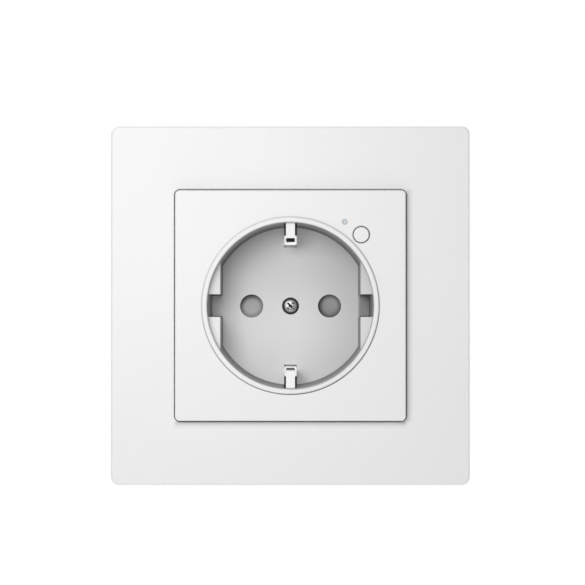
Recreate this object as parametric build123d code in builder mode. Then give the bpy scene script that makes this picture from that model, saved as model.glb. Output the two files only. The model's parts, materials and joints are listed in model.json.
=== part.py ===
from build123d import *
import os
from math import cos, radians, sin, tan

# Flush wall outlet with side earthing clips, a metering and switching board behind the
# plate, a push button and a lamp.
#
# Frame: X to the user's right, Z up, Y into the wall. The origin is the centre of the wall
# surface, so everything the user sees has a negative Y. All sizes are in millimetres.

# Cover frame and front plate
FRAME_SIDE = 86.0
FRAME_DEPTH = 8.0
FRAME_CORNER = 2.0
FRAME_WALL = 1.8
FRAME_FACE = 2.0
FRAME_EDGE_ROUND = 0.5
FRAME_HOLLOW_CORNER = 0.6
FRAME_INNER_WALL = 1.5
FRAME_OPENING_ROUND = 0.3
FRAME_RIB = 1.0
FRAME_RIB_X = 17.0
PLATE_SIDE = 55.2
PLATE_GAP = 0.25
PLATE_CORNER = 1.1
PLATE_FRONT = -10.0
PLATE_FACE = 2.2
PLATE_SKIRT = 1.4
PLATE_EDGE_ROUND = 0.35
SKIRT_BACK = -3.05
FRAME_LIP_OPENING = 52.6
FRAME_LIP_FRONT = -3.0
FRAME_LIP_BACK = -1.3

# Plug recess: ring, drafted wall, floor, guide ridges
RING_FRONT = -10.5
RING_RADIUS = 21.15
MOUTH_RADIUS = 20.0
FLOOR_RADIUS = 19.15
FLOOR_FRONT = 7.0
FLOOR_BACK = 8.6
CUP_WALL = 1.2
RING_ROUND = 0.3
RIDGE_FRONT = -7.5
RIDGE_X = 16.5
RIDGE_HALF_GAP = 2.4
RIDGE_DRAFT = 1.3
RIDGE_CORNER = 0.5
RIDGE_REACH = 10.0
RIDGE_RISE = 12.0
PIN_X = 9.5
PIN_HOLE_RADIUS = 2.825
PIN_CLEAR_RADIUS = 3.1
BOSS_RADIUS = 3.4
BOSS_BACK = 10.4
SHANK_HOLE_RADIUS = 1.4

# Centre screw and its nut
SCREW_HEAD_RADIUS = 1.95
SCREW_HEAD_FRONT = 7.35
SCREW_HEAD_BACK = 8.8
SCREW_HEAD_ROUND = 0.45
SCREW_SINK_RADIUS = 2.1
SCREW_RADIUS = 1.25
SCREW_END = 19.5
CROSS_LENGTH = 2.06
CROSS_WIDTH = 0.5
CROSS_BOTTOM = 8.3
NUT_RADIUS = 2.25
NUT_FRONT = 14.0
SHANK_HOLE_END = 14.5
NUT_BACK = 18.0
NUT_GROOVE_RADIUS = 2.0
NUT_GROOVE_BACK = 16.4
NUT_GROOVE = 0.8

# Push button and lamp, both above and to the right of the recess
BUTTON_X = 16.94
BUTTON_Z = 16.94
BUTTON_RADIUS = 1.85
BUTTON_GAP = 0.18
BUTTON_FRONT = -10.15
BUTTON_ROUND = 0.25
BUTTON_STOP_RADIUS = 2.6
BUTTON_STOP_FRONT = -7.75
BUTTON_STOP_BACK = -6.9
BUTTON_STEM_RADIUS = 1.2
BUTTON_STEM_END = 0.95
LAMP_X = 13.0
LAMP_Z = 20.0
LAMP_ANGLE = 57.0
LAMP_RADIUS = 0.62
LAMP_GAP = 0.06
LAMP_FRONT = -9.95
LAMP_STOP_RADIUS = 1.2
LAMP_PIPE_RADIUS = 0.8
LAMP_PIPE_END = 1.8

# Earthing clips: a strip bent in the plane of radius and depth
CLIP_STRIP = 0.7
CLIP_WIDE = 2.9
CLIP_NARROW = 2.15
CLIP_SLOT = 3.13
CLIP_SLOT_FRONT = -7.3
CLIP_SLOT_INNER = 14.3
CLIP_SLOT_OUTER = 21.8
CLIP_BEND = 0.6
CLIP_FOOT_END = 13.4
CLIP_WINDOW = (14.95, 16.3)
CLIP_WINDOW_HALF = 1.1
CLIP_ROOT_RADIUS = 16.0
CLIP_FOOT_DEPTH = 15.65

# Shutter behind the recess floor
SHUTTER_FRONT = 8.8
SHUTTER_BACK = 11.2
SHUTTER_RAMP_EDGE = 0.35
SHUTTER_RAMP_Z = (3.7, 4.8)
LOBE_RELIEF = 0.9
LOBE_RELIEF_ANGLE = 13.0
LOBE_RADIUS = 12.6
LOBE_HALF_ANGLE = 19.5
HUB_RADIUS = 5.4
COVER_FRONT = 11.6
COVER_BACK = 12.8
COVER_RADIUS = 15.0
COVER_WALL = 1.1
SPRING_WIRE_RADIUS = 0.15
SPRING_COIL_RADIUS = 0.8
SPRING_TURNS = 5
PEG = (5.6, 11.5)
PEG_RADIUS = 1.1

# Mounting bracket and insulating base
BRACKET_SIDE = 71.0
BRACKET_SHEET = 1.2
WALL_SCREW_RADIUS = 30.0
WALL_SLOT_LENGTH = 6.6
WALL_SLOT_WIDTH = 3.9
BRACKET_CORNER = 4.0
BRACKET_CLEARANCE = 0.3
BRACKET_THREAD_RADIUS = 1.25
FLANGE_HEAD_RADIUS = 2.1
FLANGE_HEAD_RISE = 1.3
FLANGE_SHANK_RADIUS = 1.2
FLANGE_HOLE_RADIUS = 1.35
FLANGE_CROSS = (2.4, 0.5)
FLANGE_SIDE = 51.2
FLANGE_FRONT = -2.8
FLANGE_SCREW = 21.8
HOUSING_HALF = 24.5
HOUSING_RADIUS = 27.0
HOUSING_WALL = 1.5
WELL_INNER = 21.4
WELL_OUTER = 22.4
WELL_FLOOR_FRONT = 13.2
WELL_FLOOR_BACK = 14.8
NUT_BOSS_RADIUS = 3.0
NUT_BOSS_BACK = 20.6
NUT_POCKET_END = 21.0
NUT_POCKET_RADIUS = 2.3
NEUTRAL_WAY_X = (-12.8, -11.2)
CLIP_WAY_HALF_X = 1.9
CLIP_WAY_Z = (15.2, 17.3)
STEM_HOLE_RADIUS = 1.6
PIPE_HOLE_RADIUS = 1.1
CHAMBER_INNER_X = 5.0
CHAMBER_OUTER_X = 14.0
CHAMBER_HALF_Z = 4.5
CHAMBER_WALL = 1.0
CHAMBER_BACK = 26.2
SPLIT = 15.0
REAR_INNER = 31.5
REAR_BACK = 33.0
HOUSING_POSTS = [(-13.5, 20.5), (18.6, -14.5)]
POST_RADIUS = 2.4
POST_THREAD_RADIUS = 0.95
POST_HOLE_RADIUS = 1.1
POST_HEAD_WAY_RADIUS = 1.75
POST_FRONT = 8.0
HOUSING_HEAD_FRONT = 21.5
HOUSING_HEAD_BACK = 22.9
HOUSING_HEAD_RADIUS = 1.6
HOUSING_SHANK_RADIUS = 0.93
HOUSING_SCREW_END = 10.0
HOUSING_CROSS = (2.0, 0.45)
HOUSING_EDGE_ROUND = 1.0
DIVIDER_X = 4.65
DIVIDER = 1.0
DIVIDER_Z = (-23.1, -10.0)
PADS = [(-21.2, -6.0), (21.2, -7.5), (-6.0, 21.4), (8.0, 21.4)]
PAD_RADIUS = 1.0
DRIVER_WAY_RADIUS = 1.9

# Earth bow, pin contacts, terminals
BOW_FRONT = 16.0
BOW_BACK = 16.8
CONTACT_SHEET = 0.8
LEAF_GAP = 4.2
LEAF_HALF_Z = 3.0
LEAF_FRONT = 16.0
FLARE_OUTER = 0.7
FLARE_INNER = 0.8
FLARE_DEPTH = 1.6
TAIL_HALF_X = 1.5
TAIL_END = 30.1
LEG_Y = (20.8, 23.8)
BUSBAR_FRONT = 22.0
BUSBAR_TAIL_HALF_X = 1.3
BUSBAR_TAIL_Z = (-8.2, -7.4)
BOW_HALF_X = 3.8
BOW_TOP = 17.4
BOW_HOLE_RADIUS = 3.1
BOW_LEG_BACK = 20.5
CONTACT_BACK = 27.2
TERMINALS = {"neutral": -PIN_X, "earth": 0.0, "line": PIN_X}
TONGUE_TOP = -16.7
TONGUE_BOTTOM = -17.5
TONGUE_HALF_X = 1.9
TONGUE_END = 30.2
CAGE_FRONT = 24.5
CAGE_BACK = 30.5
CAGE_HALF_X = 3.3
CAGE_INNER_HALF_X = 2.2
CAGE_BOTTOM = -19.2
CAGE_FLOOR = -17.6
CAGE_ROOF = -12.8
CAGE_TOP = -11.6
CLAMP_RADIUS = 1.5
CLAMP_HEAD_RADIUS = 2.0
CLAMP_HEAD_BOTTOM = -22.6
CLAMP_HEAD_TOP = -21.5
WIRE_HOLE_RADIUS = 1.8
CAGE_ROUND = 0.5
CLAMP_CROSS = (2.8, 0.6)
CLAMP_CROSS_DEPTH = 0.8
WIRE_Z = -14.75

# Circuit boards
BOARD_FRONT = 28.0
BOARD_BACK = 29.6
BOARD_RADIUS = 24.8
BOARD_HALF = 22.75
BOARD_BOTTOM = -9.5
CONTROL_FRONT = 3.0
CONTROL_BACK = 4.0
CONTROL_RADIUS = 25.2
CONTROL_ANGLES = (28.0, 74.0)
HEADER_RADIUS = 23.8
HEADER_PIN_ANGLES = (30.5, 33.0, 35.5, 38.0)
HEADER_ANGLES = (29.0, 39.5)
HEADER_HALF = 0.7
HEADER_RISE = 2.0
HEADER_PIN_RADIUS = 0.25
HEADER_PIN_HOLE = 0.35
SWITCH_SIDES = (2.6, 3.0)
SWITCH_FRONT = 1.5
SWITCH_WELL_RADIUS = 0.9
STEM_RADIUS = 0.8
STEM_Y = (1.0, 2.2)
LED_SIDES = (1.0, 1.6)
LED_RISE = 0.7
RELAY_X = (-9.2, 7.0)
RELAY_FRONT = 17.8
RELAY_BASE_FRONT = 27.0
RELAY_WALL = 0.6
RELAY_ROUND = 0.8
COIL_X = -3.6
COIL_RADIUS = 4.2
COIL_WOUND_RADIUS = 3.9
COIL_Y = (20.6, 26.2)
COIL_FLANGE = 0.5
CORE_RADIUS = 1.2
POLE_RADIUS = 2.4
YOKE_HALF_Z = 3.2
YOKE_X = (1.5, 2.4)
ARMATURE_X = (-6.6, 2.3)
ARMATURE_Y = (19.0, 19.6)
ARMATURE_HALF_Z = 3.0
BLADE = 0.3
BLADE_HALF_Z = 2.0
CONTACT_Y = 24.6
CONTACT_RADIUS = 1.0
RELAY_Z = 14.5
FIXED_CONTACT_X = 4.75
RADIO_X = 13.3
RADIO_Z = 15.4
FUSE_X = 18.5
FUSE_Z = -8.0
VARISTOR_LEADS = (-20.15, -16.25)
VARISTOR_LEAD_Z = -7.15
SMALL = 0.1

os.makedirs("parts", exist_ok=True)


def facing(depth):
    """Sketch plane at a depth, seen as the user sees it: X right, Z up, normal to the user."""
    return Plane.XZ.offset(-depth)


def block(x, y, z, mode=Mode.ADD):
    """Box between two limits along each axis."""
    with Locations(((x[0] + x[1]) / 2, (y[0] + y[1]) / 2, (z[0] + z[1]) / 2)):
        Box(x[1] - x[0], y[1] - y[0], z[1] - z[0], mode=mode)


def disc(x, z, radius, front, back, mode=Mode.ADD):
    """Cylinder whose axis runs into the wall, between two depths."""
    with Locations((x, (front + back) / 2, z)):
        Cylinder(radius, back - front, rotation=(90, 0, 0), mode=mode)


def housing_outline(half_side, radius):
    """Outline of the wall box insert: a circle with four flats."""
    Circle(radius)
    Rectangle(2 * half_side, 2 * half_side, mode=Mode.INTERSECT)


def save(piece, node):
    """Label a finished piece and write its file."""
    piece.part.label = node
    export_step(piece.part, f"parts/{node}.step")


# ---------------------------------------------------------------- front mouldings

opening_side = PLATE_SIDE + 2 * PLATE_GAP
inner_wall_side = opening_side + 2 * FRAME_INNER_WALL
frame_floor = FRAME_FACE - FRAME_DEPTH

with BuildPart() as cover_frame:
    with BuildSketch(facing(0)):
        RectangleRounded(FRAME_SIDE, FRAME_SIDE, FRAME_CORNER)
    extrude(amount=FRAME_DEPTH)
    fillet(cover_frame.faces().sort_by(Axis.Y)[0].edges(), FRAME_EDGE_ROUND)
    with BuildSketch(facing(0)):
        hollow_side = FRAME_SIDE - 2 * FRAME_WALL
        RectangleRounded(hollow_side, hollow_side, FRAME_HOLLOW_CORNER)
    extrude(amount=FRAME_DEPTH - FRAME_FACE, mode=Mode.SUBTRACT)
    # Wall round the opening, with the ribs that stiffen it
    with BuildSketch(facing(FRAME_LIP_BACK)):
        Rectangle(inner_wall_side, inner_wall_side)
        Rectangle(FRAME_LIP_OPENING, FRAME_LIP_OPENING, mode=Mode.SUBTRACT)
    extrude(amount=FRAME_LIP_BACK - frame_floor + SMALL)
    rib_start = inner_wall_side / 2 - SMALL
    rib_end = FRAME_SIDE / 2 - FRAME_WALL + SMALL
    with BuildSketch(facing(FRAME_LIP_BACK - SMALL)):
        with PolarLocations(0, 4):
            for offset_across in (-FRAME_RIB_X, FRAME_RIB_X):
                with Locations(((rib_start + rib_end) / 2, offset_across)):
                    Rectangle(rib_end - rib_start, FRAME_RIB)
    extrude(amount=FRAME_LIP_BACK - frame_floor)
    # Opening for the plate, down to the lip that the plate clamps
    with BuildSketch(facing(FRAME_LIP_FRONT)):
        RectangleRounded(opening_side, opening_side, PLATE_CORNER + PLATE_GAP)
    extrude(amount=FRAME_DEPTH, mode=Mode.SUBTRACT)
    front = cover_frame.faces().filter_by(Axis.Y).sort_by(Axis.Y)[0]
    fillet(front.inner_wires()[0].edges(), FRAME_OPENING_ROUND)
save(cover_frame, "cover_frame")

with BuildPart() as center_plate:
    with BuildSketch(facing(SKIRT_BACK)):
        RectangleRounded(PLATE_SIDE, PLATE_SIDE, PLATE_CORNER)
    extrude(amount=SKIRT_BACK - PLATE_FRONT)
    fillet(center_plate.faces().sort_by(Axis.Y)[0].edges(), PLATE_EDGE_ROUND)
    with BuildSketch(facing(SKIRT_BACK)):
        pocket_side = PLATE_SIDE - 2 * PLATE_SKIRT
        Rectangle(pocket_side, pocket_side)
    extrude(amount=SKIRT_BACK - PLATE_FRONT - PLATE_FACE, mode=Mode.SUBTRACT)
    # Recess: first its whole body, then the space inside it
    with BuildSketch(Plane.XY):
        with BuildLine():
            Polyline(
                (0, RING_FRONT),
                (RING_RADIUS, RING_FRONT),
                (RING_RADIUS, PLATE_FRONT + PLATE_FACE),
                (FLOOR_RADIUS + CUP_WALL, FLOOR_BACK),
                (0, FLOOR_BACK),
                close=True,
            )
        make_face()
    revolve(axis=Axis.Y)
    with BuildSketch(Plane.XY):
        with BuildLine():
            Polyline(
                (0, RING_FRONT),
                (MOUTH_RADIUS, RING_FRONT),
                (FLOOR_RADIUS, FLOOR_FRONT),
                (0, FLOOR_FRONT),
                close=True,
            )
        make_face()
    revolve(axis=Axis.Y, mode=Mode.SUBTRACT)
    ring_face = center_plate.faces().filter_by(Axis.Y).sort_by(Axis.Y)[0]
    fillet(ring_face.edges(), RING_ROUND)
    # Guide ridges on both sides, each in two halves with a slot between
    for side_x in (-1, 1):
        for side_z in (-1, 1):
            with BuildSketch(facing(FLOOR_FRONT + SMALL)) as ridge:
                Circle(FLOOR_RADIUS + CUP_WALL - SMALL)
                ridge_x = side_x * (RIDGE_X + RIDGE_REACH / 2)
                ridge_z = side_z * (RIDGE_HALF_GAP + RIDGE_RISE / 2)
                with Locations((ridge_x, ridge_z)):
                    Rectangle(RIDGE_REACH, RIDGE_RISE, mode=Mode.INTERSECT)
                corner = ridge.vertices().sort_by_distance((0, 0, 0))[0]
                fillet(corner, RIDGE_CORNER)
            extrude(amount=FLOOR_FRONT + SMALL - RIDGE_FRONT, taper=RIDGE_DRAFT)
    # Holes through the floor: pins, centre screw and earthing clips
    disc(0, 0, BOSS_RADIUS, FLOOR_BACK - SMALL, BOSS_BACK)
    for side_x in (-1, 1):
        disc(side_x * PIN_X, 0, PIN_HOLE_RADIUS, FLOOR_FRONT - 1, FLOOR_BACK + SMALL, Mode.SUBTRACT)
    disc(0, 0, SCREW_SINK_RADIUS, FLOOR_FRONT - 1, SCREW_HEAD_BACK, Mode.SUBTRACT)
    disc(0, 0, SHANK_HOLE_RADIUS, FLOOR_FRONT, BOSS_BACK + SMALL, Mode.SUBTRACT)
    for side_z in (-1, 1):
        slot_z = sorted((side_z * CLIP_SLOT_INNER, side_z * CLIP_SLOT_OUTER))
        slot_y = (CLIP_SLOT_FRONT, FLOOR_BACK + SMALL)
        block((-CLIP_SLOT / 2, CLIP_SLOT / 2), slot_y, slot_z, Mode.SUBTRACT)
    # Holes in the face for the button and the lamp
    disc(BUTTON_X, BUTTON_Z, BUTTON_RADIUS + BUTTON_GAP, RING_FRONT, SKIRT_BACK, Mode.SUBTRACT)
    disc(LAMP_X, LAMP_Z, LAMP_RADIUS + LAMP_GAP, RING_FRONT, SKIRT_BACK, Mode.SUBTRACT)
save(center_plate, "center_plate")

# ---------------------------------------------------------------- centre screw and nut

with BuildPart() as center_screw:
    disc(0, 0, SCREW_HEAD_RADIUS, SCREW_HEAD_FRONT, SCREW_HEAD_BACK)
    fillet(center_screw.edges().sort_by(Axis.Y)[0], SCREW_HEAD_ROUND)
    disc(0, 0, SCREW_RADIUS, SCREW_HEAD_BACK - SMALL, SCREW_END)
    chamfer(center_screw.edges().sort_by(Axis.Y)[-1], 0.4)
    with BuildSketch(facing(CROSS_BOTTOM)):
        for turn in (45, 135):
            with Locations(Location((0, 0, 0), turn)):
                Rectangle(CROSS_LENGTH, CROSS_WIDTH)
    extrude(amount=1.5, mode=Mode.SUBTRACT)
save(center_screw, "center_screw")

with BuildPart() as center_nut:
    disc(0, 0, NUT_RADIUS, NUT_FRONT, NUT_BACK)
    with BuildSketch(facing(NUT_GROOVE_BACK)):
        Circle(NUT_RADIUS + SMALL)
        Circle(NUT_GROOVE_RADIUS, mode=Mode.SUBTRACT)
    extrude(amount=NUT_GROOVE, mode=Mode.SUBTRACT)
    disc(0, 0, SCREW_RADIUS + 0.05, NUT_FRONT - SMALL, NUT_BACK + SMALL, Mode.SUBTRACT)
save(center_nut, "center_nut")

# ---------------------------------------------------------------- button and lamp

with BuildPart() as button_cap:
    disc(BUTTON_X, BUTTON_Z, BUTTON_RADIUS, BUTTON_FRONT, BUTTON_STOP_FRONT + SMALL)
    fillet(button_cap.edges().sort_by(Axis.Y)[0], BUTTON_ROUND)
    disc(BUTTON_X, BUTTON_Z, BUTTON_STOP_RADIUS, BUTTON_STOP_FRONT, BUTTON_STOP_BACK)
    disc(BUTTON_X, BUTTON_Z, BUTTON_STEM_RADIUS, BUTTON_STOP_BACK - SMALL, BUTTON_STEM_END)
save(button_cap, "button_cap")

with BuildPart() as light_pipe:
    lamp_stop = (PLATE_FRONT + PLATE_FACE, PLATE_FRONT + PLATE_FACE + 0.8)
    disc(LAMP_X, LAMP_Z, LAMP_RADIUS, LAMP_FRONT, lamp_stop[0] + SMALL)
    disc(LAMP_X, LAMP_Z, LAMP_STOP_RADIUS, *lamp_stop)
    disc(LAMP_X, LAMP_Z, LAMP_PIPE_RADIUS, lamp_stop[1] - SMALL, LAMP_PIPE_END)
save(light_pipe, "light_pipe")

# ---------------------------------------------------------------- shutter

with BuildPart() as shutter:
    with BuildSketch(facing(SHUTTER_BACK)):
        Circle(LOBE_RADIUS)
        reach = 2 * LOBE_RADIUS
        rise = reach * tan(radians(LOBE_HALF_ANGLE))
        for side_z in (-1, 1):
            Polygon(
                (0, 0),
                (reach, side_z * rise),
                (reach, side_z * reach),
                (-reach, side_z * reach),
                (-reach, side_z * rise),
                align=None,
                mode=Mode.SUBTRACT,
            )
        Circle(HUB_RADIUS)
        Circle(BOSS_RADIUS + 0.05, mode=Mode.SUBTRACT)
        # Small relief at the leading corner of each lobe
        with PolarLocations(LOBE_RADIUS - 0.4, 2, start_angle=LOBE_RELIEF_ANGLE):
            Circle(LOBE_RELIEF, mode=Mode.SUBTRACT)
    extrude(amount=SHUTTER_BACK - SHUTTER_FRONT)
    # Ramps that turn the shutter when both pins push in together
    for side_x in (-1, 1):
        ramp_start = HUB_RADIUS if side_x > 0 else -LOBE_RADIUS - 1
        with BuildSketch(Plane.YZ.offset(ramp_start)):
            Polygon(
                (SHUTTER_FRONT - SMALL, side_x * SHUTTER_RAMP_Z[0]),
                (SHUTTER_FRONT - SMALL, -side_x * SHUTTER_RAMP_Z[1]),
                (SHUTTER_BACK - SHUTTER_RAMP_EDGE, -side_x * SHUTTER_RAMP_Z[1]),
                align=None,
            )
        extrude(amount=LOBE_RADIUS + 1 - HUB_RADIUS, mode=Mode.SUBTRACT)
save(shutter, "shutter")

spring_start = Vector(9.6, 10.2, 4.9)
spring_end = Vector(6.4, 10.2, 10.2)
spring_along = (spring_end - spring_start).normalized()
spring_length = (spring_end - spring_start).length

with BuildPart() as shutter_spring:
    with BuildLine():
        pitch = spring_length / SPRING_TURNS
        coil = Helix(pitch, spring_length, SPRING_COIL_RADIUS, spring_start, spring_along)
    with BuildSketch(Plane(origin=coil @ 0, z_dir=coil % 0)):
        Circle(SPRING_WIRE_RADIUS)
    sweep()
save(shutter_spring, "shutter_spring")

with BuildPart() as shutter_cover:
    disc(0, 0, COVER_RADIUS, FLOOR_BACK + 0.05, COVER_BACK)
    disc(0, 0, COVER_RADIUS - COVER_WALL, FLOOR_BACK, COVER_FRONT, Mode.SUBTRACT)
    disc(0, 0, BOSS_RADIUS + 0.2, COVER_FRONT - 1, COVER_BACK + 1, Mode.SUBTRACT)
    for side_x in (-1, 1):
        disc(side_x * PIN_X, 0, PIN_CLEAR_RADIUS, COVER_FRONT - 1, COVER_BACK + 1, Mode.SUBTRACT)
    # Peg that the shutter's spring pushes against
    disc(*PEG, PEG_RADIUS, SHUTTER_FRONT + 0.3, COVER_FRONT + SMALL)
save(shutter_cover, "shutter_cover")

# ---------------------------------------------------------------- bracket and its screws

with BuildPart() as mounting_bracket:
    with BuildSketch(facing(0)):
        RectangleRounded(BRACKET_SIDE, BRACKET_SIDE, BRACKET_CORNER)
    extrude(amount=BRACKET_SHEET)
    with BuildSketch(facing(SMALL)):
        housing_outline(HOUSING_HALF + BRACKET_CLEARANCE, HOUSING_RADIUS + BRACKET_CLEARANCE)
        with Locations((-WALL_SCREW_RADIUS, 0), (WALL_SCREW_RADIUS, 0)):
            SlotOverall(WALL_SLOT_LENGTH, WALL_SLOT_WIDTH)
        with Locations((0, -WALL_SCREW_RADIUS), (0, WALL_SCREW_RADIUS)):
            SlotOverall(WALL_SLOT_LENGTH, WALL_SLOT_WIDTH, rotation=90)
        with GridLocations(2 * FLANGE_SCREW, 2 * FLANGE_SCREW, 2, 2):
            Circle(BRACKET_THREAD_RADIUS)
    extrude(amount=BRACKET_SHEET + 1, mode=Mode.SUBTRACT)
save(mounting_bracket, "mounting_bracket")

with BuildPart() as bracket_screws:
    screw_places = [(x, z) for x in (-FLANGE_SCREW, FLANGE_SCREW) for z in (-FLANGE_SCREW, FLANGE_SCREW)]
    for x, z in screw_places:
        disc(x, z, FLANGE_HEAD_RADIUS, FLANGE_FRONT - FLANGE_HEAD_RISE, FLANGE_FRONT)
        disc(x, z, FLANGE_SHANK_RADIUS, FLANGE_FRONT - SMALL, -SMALL)
    with BuildSketch(facing(FLANGE_FRONT - 0.5)):
        with Locations(*screw_places):
            Rectangle(*FLANGE_CROSS)
            Rectangle(*reversed(FLANGE_CROSS))
    extrude(amount=1, mode=Mode.SUBTRACT)
save(bracket_screws, "bracket_screws")

# ---------------------------------------------------------------- insulating base

with BuildPart() as socket_base:
    with BuildSketch(facing(-BRACKET_SHEET)):
        RectangleRounded(FLANGE_SIDE, FLANGE_SIDE, 1.5)
    extrude(amount=-BRACKET_SHEET - FLANGE_FRONT)
    with BuildSketch(facing(SPLIT)):
        housing_outline(HOUSING_HALF, HOUSING_RADIUS)
    extrude(amount=SPLIT + BRACKET_SHEET + SMALL)
    with BuildSketch(facing(SPLIT)):
        housing_outline(HOUSING_HALF - HOUSING_WALL, HOUSING_RADIUS - HOUSING_WALL)
    extrude(amount=SPLIT + BRACKET_SHEET, mode=Mode.SUBTRACT)
    disc(0, 0, WELL_OUTER, FLANGE_FRONT, WELL_FLOOR_BACK)
    disc(0, 0, WELL_INNER, FLANGE_FRONT - 1, WELL_FLOOR_FRONT, Mode.SUBTRACT)
    # Boss that holds the centre nut
    disc(0, 0, BOSS_RADIUS - SMALL, BOSS_BACK + SMALL, WELL_FLOOR_FRONT + SMALL)
    disc(0, 0, NUT_BOSS_RADIUS, WELL_FLOOR_BACK - SMALL, NUT_BOSS_BACK)
    disc(0, 0, SHANK_HOLE_RADIUS, BOSS_BACK, SHANK_HOLE_END, Mode.SUBTRACT)
    disc(0, 0, NUT_POCKET_RADIUS, NUT_FRONT, NUT_POCKET_END, Mode.SUBTRACT)
    # Chambers that wall in the pin contacts
    wall_z = CHAMBER_HALF_Z + CHAMBER_WALL
    for side_x in (-1, 1):
        inside_x = sorted((side_x * CHAMBER_INNER_X, side_x * CHAMBER_OUTER_X))
        outside_x = (inside_x[0] - CHAMBER_WALL, inside_x[1] + CHAMBER_WALL)
        block(outside_x, (WELL_FLOOR_BACK - SMALL, CHAMBER_BACK), (-wall_z, wall_z))
        inside_y = (WELL_FLOOR_BACK, CHAMBER_BACK + 1)
        block(inside_x, inside_y, (-CHAMBER_HALF_Z, CHAMBER_HALF_Z), Mode.SUBTRACT)
        disc(side_x * PIN_X, 0, PIN_CLEAR_RADIUS, WELL_FLOOR_FRONT - 1, 15.5, Mode.SUBTRACT)
    # Way out for the neutral contact's tail
    way_z = (-wall_z - 1, -CHAMBER_HALF_Z + 1)
    block(NEUTRAL_WAY_X, (20.3, CHAMBER_BACK + 1), way_z, Mode.SUBTRACT)
    # Ways through for the earthing clips
    for side_z in (-1, 1):
        way_x = (-CLIP_WAY_HALF_X, CLIP_WAY_HALF_X)
        way_z = sorted(side_z * radius for radius in CLIP_WAY_Z)
        block(way_x, (WELL_FLOOR_FRONT - 1, WELL_FLOOR_BACK + 1), way_z, Mode.SUBTRACT)
    # Posts for the housing screws
    for x, z in HOUSING_POSTS:
        disc(x, z, POST_RADIUS, POST_FRONT, SPLIT)
        disc(x, z, POST_THREAD_RADIUS, POST_FRONT + 1, SPLIT + SMALL, Mode.SUBTRACT)
    # Holes in the flange: button stem, light pipe, bracket screws
    disc(BUTTON_X, BUTTON_Z, STEM_HOLE_RADIUS, FLANGE_FRONT - 1, 0, Mode.SUBTRACT)
    disc(LAMP_X, LAMP_Z, PIPE_HOLE_RADIUS, FLANGE_FRONT - 1, 0, Mode.SUBTRACT)
    for x, z in screw_places:
        disc(x, z, FLANGE_HOLE_RADIUS, FLANGE_FRONT - 1, 0, Mode.SUBTRACT)
save(socket_base, "socket_base")

with BuildPart() as rear_housing:
    with BuildSketch(facing(REAR_BACK)):
        housing_outline(HOUSING_HALF, HOUSING_RADIUS)
    extrude(amount=REAR_BACK - SPLIT)
    fillet(rear_housing.faces().sort_by(Axis.Y)[-1].edges(), HOUSING_EDGE_ROUND)
    with BuildSketch(facing(REAR_INNER)):
        housing_outline(HOUSING_HALF - HOUSING_WALL, HOUSING_RADIUS - HOUSING_WALL)
    extrude(amount=REAR_INNER - SPLIT, mode=Mode.SUBTRACT)
    for x, z in HOUSING_POSTS:
        disc(x, z, POST_RADIUS, SPLIT, REAR_INNER + SMALL)
        disc(x, z, POST_HOLE_RADIUS, SPLIT - 1, REAR_BACK, Mode.SUBTRACT)
        disc(x, z, POST_HEAD_WAY_RADIUS, HOUSING_HEAD_FRONT, REAR_BACK + 1, Mode.SUBTRACT)
    # Walls between the terminals, and pads under the main board
    for side_x in (-DIVIDER_X, DIVIDER_X):
        wall_x = (side_x - DIVIDER / 2, side_x + DIVIDER / 2)
        block(wall_x, (22, REAR_INNER + SMALL), DIVIDER_Z)
    for x, z in PADS:
        disc(x, z, PAD_RADIUS, BOARD_BACK, REAR_INNER + SMALL)
    # Wire entries in the back, screwdriver ways in the lower side
    for x in TERMINALS.values():
        disc(x, WIRE_Z, WIRE_HOLE_RADIUS, REAR_INNER - 1, REAR_BACK + 1, Mode.SUBTRACT)
    with BuildSketch(Plane.XY.offset(-HOUSING_HALF - 1)):
        for x in TERMINALS.values():
            with Locations((x, (CAGE_FRONT + CAGE_BACK) / 2)):
                Circle(DRIVER_WAY_RADIUS)
    extrude(amount=3, mode=Mode.SUBTRACT)
save(rear_housing, "rear_housing")

with BuildPart() as housing_screws:
    for x, z in HOUSING_POSTS:
        disc(x, z, HOUSING_HEAD_RADIUS, HOUSING_HEAD_FRONT, HOUSING_HEAD_BACK)
        disc(x, z, HOUSING_SHANK_RADIUS, HOUSING_SCREW_END, HOUSING_HEAD_FRONT + SMALL)
    with BuildSketch(facing(HOUSING_HEAD_BACK + SMALL)):
        with Locations(*HOUSING_POSTS):
            Rectangle(*HOUSING_CROSS)
            Rectangle(*reversed(HOUSING_CROSS))
    extrude(amount=0.8, mode=Mode.SUBTRACT)
save(housing_screws, "housing_screws")

# ---------------------------------------------------------------- pin contacts

leaf_inner = LEAF_GAP / 2
leaf_outer = leaf_inner + CONTACT_SHEET


def contact_fork(x):
    """Two leaves joined at the back, with flared mouths and a tail into the main board."""
    with BuildPart() as fork:
        with BuildSketch(Plane.XY.offset(-LEAF_HALF_Z)):
            with BuildLine():
                Polyline(
                    (x - leaf_outer - FLARE_OUTER, LEAF_FRONT),
                    (x - leaf_outer, LEAF_FRONT + FLARE_DEPTH),
                    (x - leaf_outer, CONTACT_BACK),
                    (x + leaf_outer, CONTACT_BACK),
                    (x + leaf_outer, LEAF_FRONT + FLARE_DEPTH),
                    (x + leaf_outer + FLARE_OUTER, LEAF_FRONT),
                    (x + leaf_inner + FLARE_INNER, LEAF_FRONT),
                    (x + leaf_inner, LEAF_FRONT + FLARE_DEPTH),
                    (x + leaf_inner, CONTACT_BACK - CONTACT_SHEET),
                    (x - leaf_inner, CONTACT_BACK - CONTACT_SHEET),
                    (x - leaf_inner, LEAF_FRONT + FLARE_DEPTH),
                    (x - leaf_inner - FLARE_INNER, LEAF_FRONT),
                    close=True,
                )
            make_face()
        extrude(amount=2 * LEAF_HALF_Z)
        tail = CONTACT_SHEET / 2
        block((x - TAIL_HALF_X, x + TAIL_HALF_X), (CONTACT_BACK - SMALL, TAIL_END), (-tail, tail))
    return fork


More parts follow.
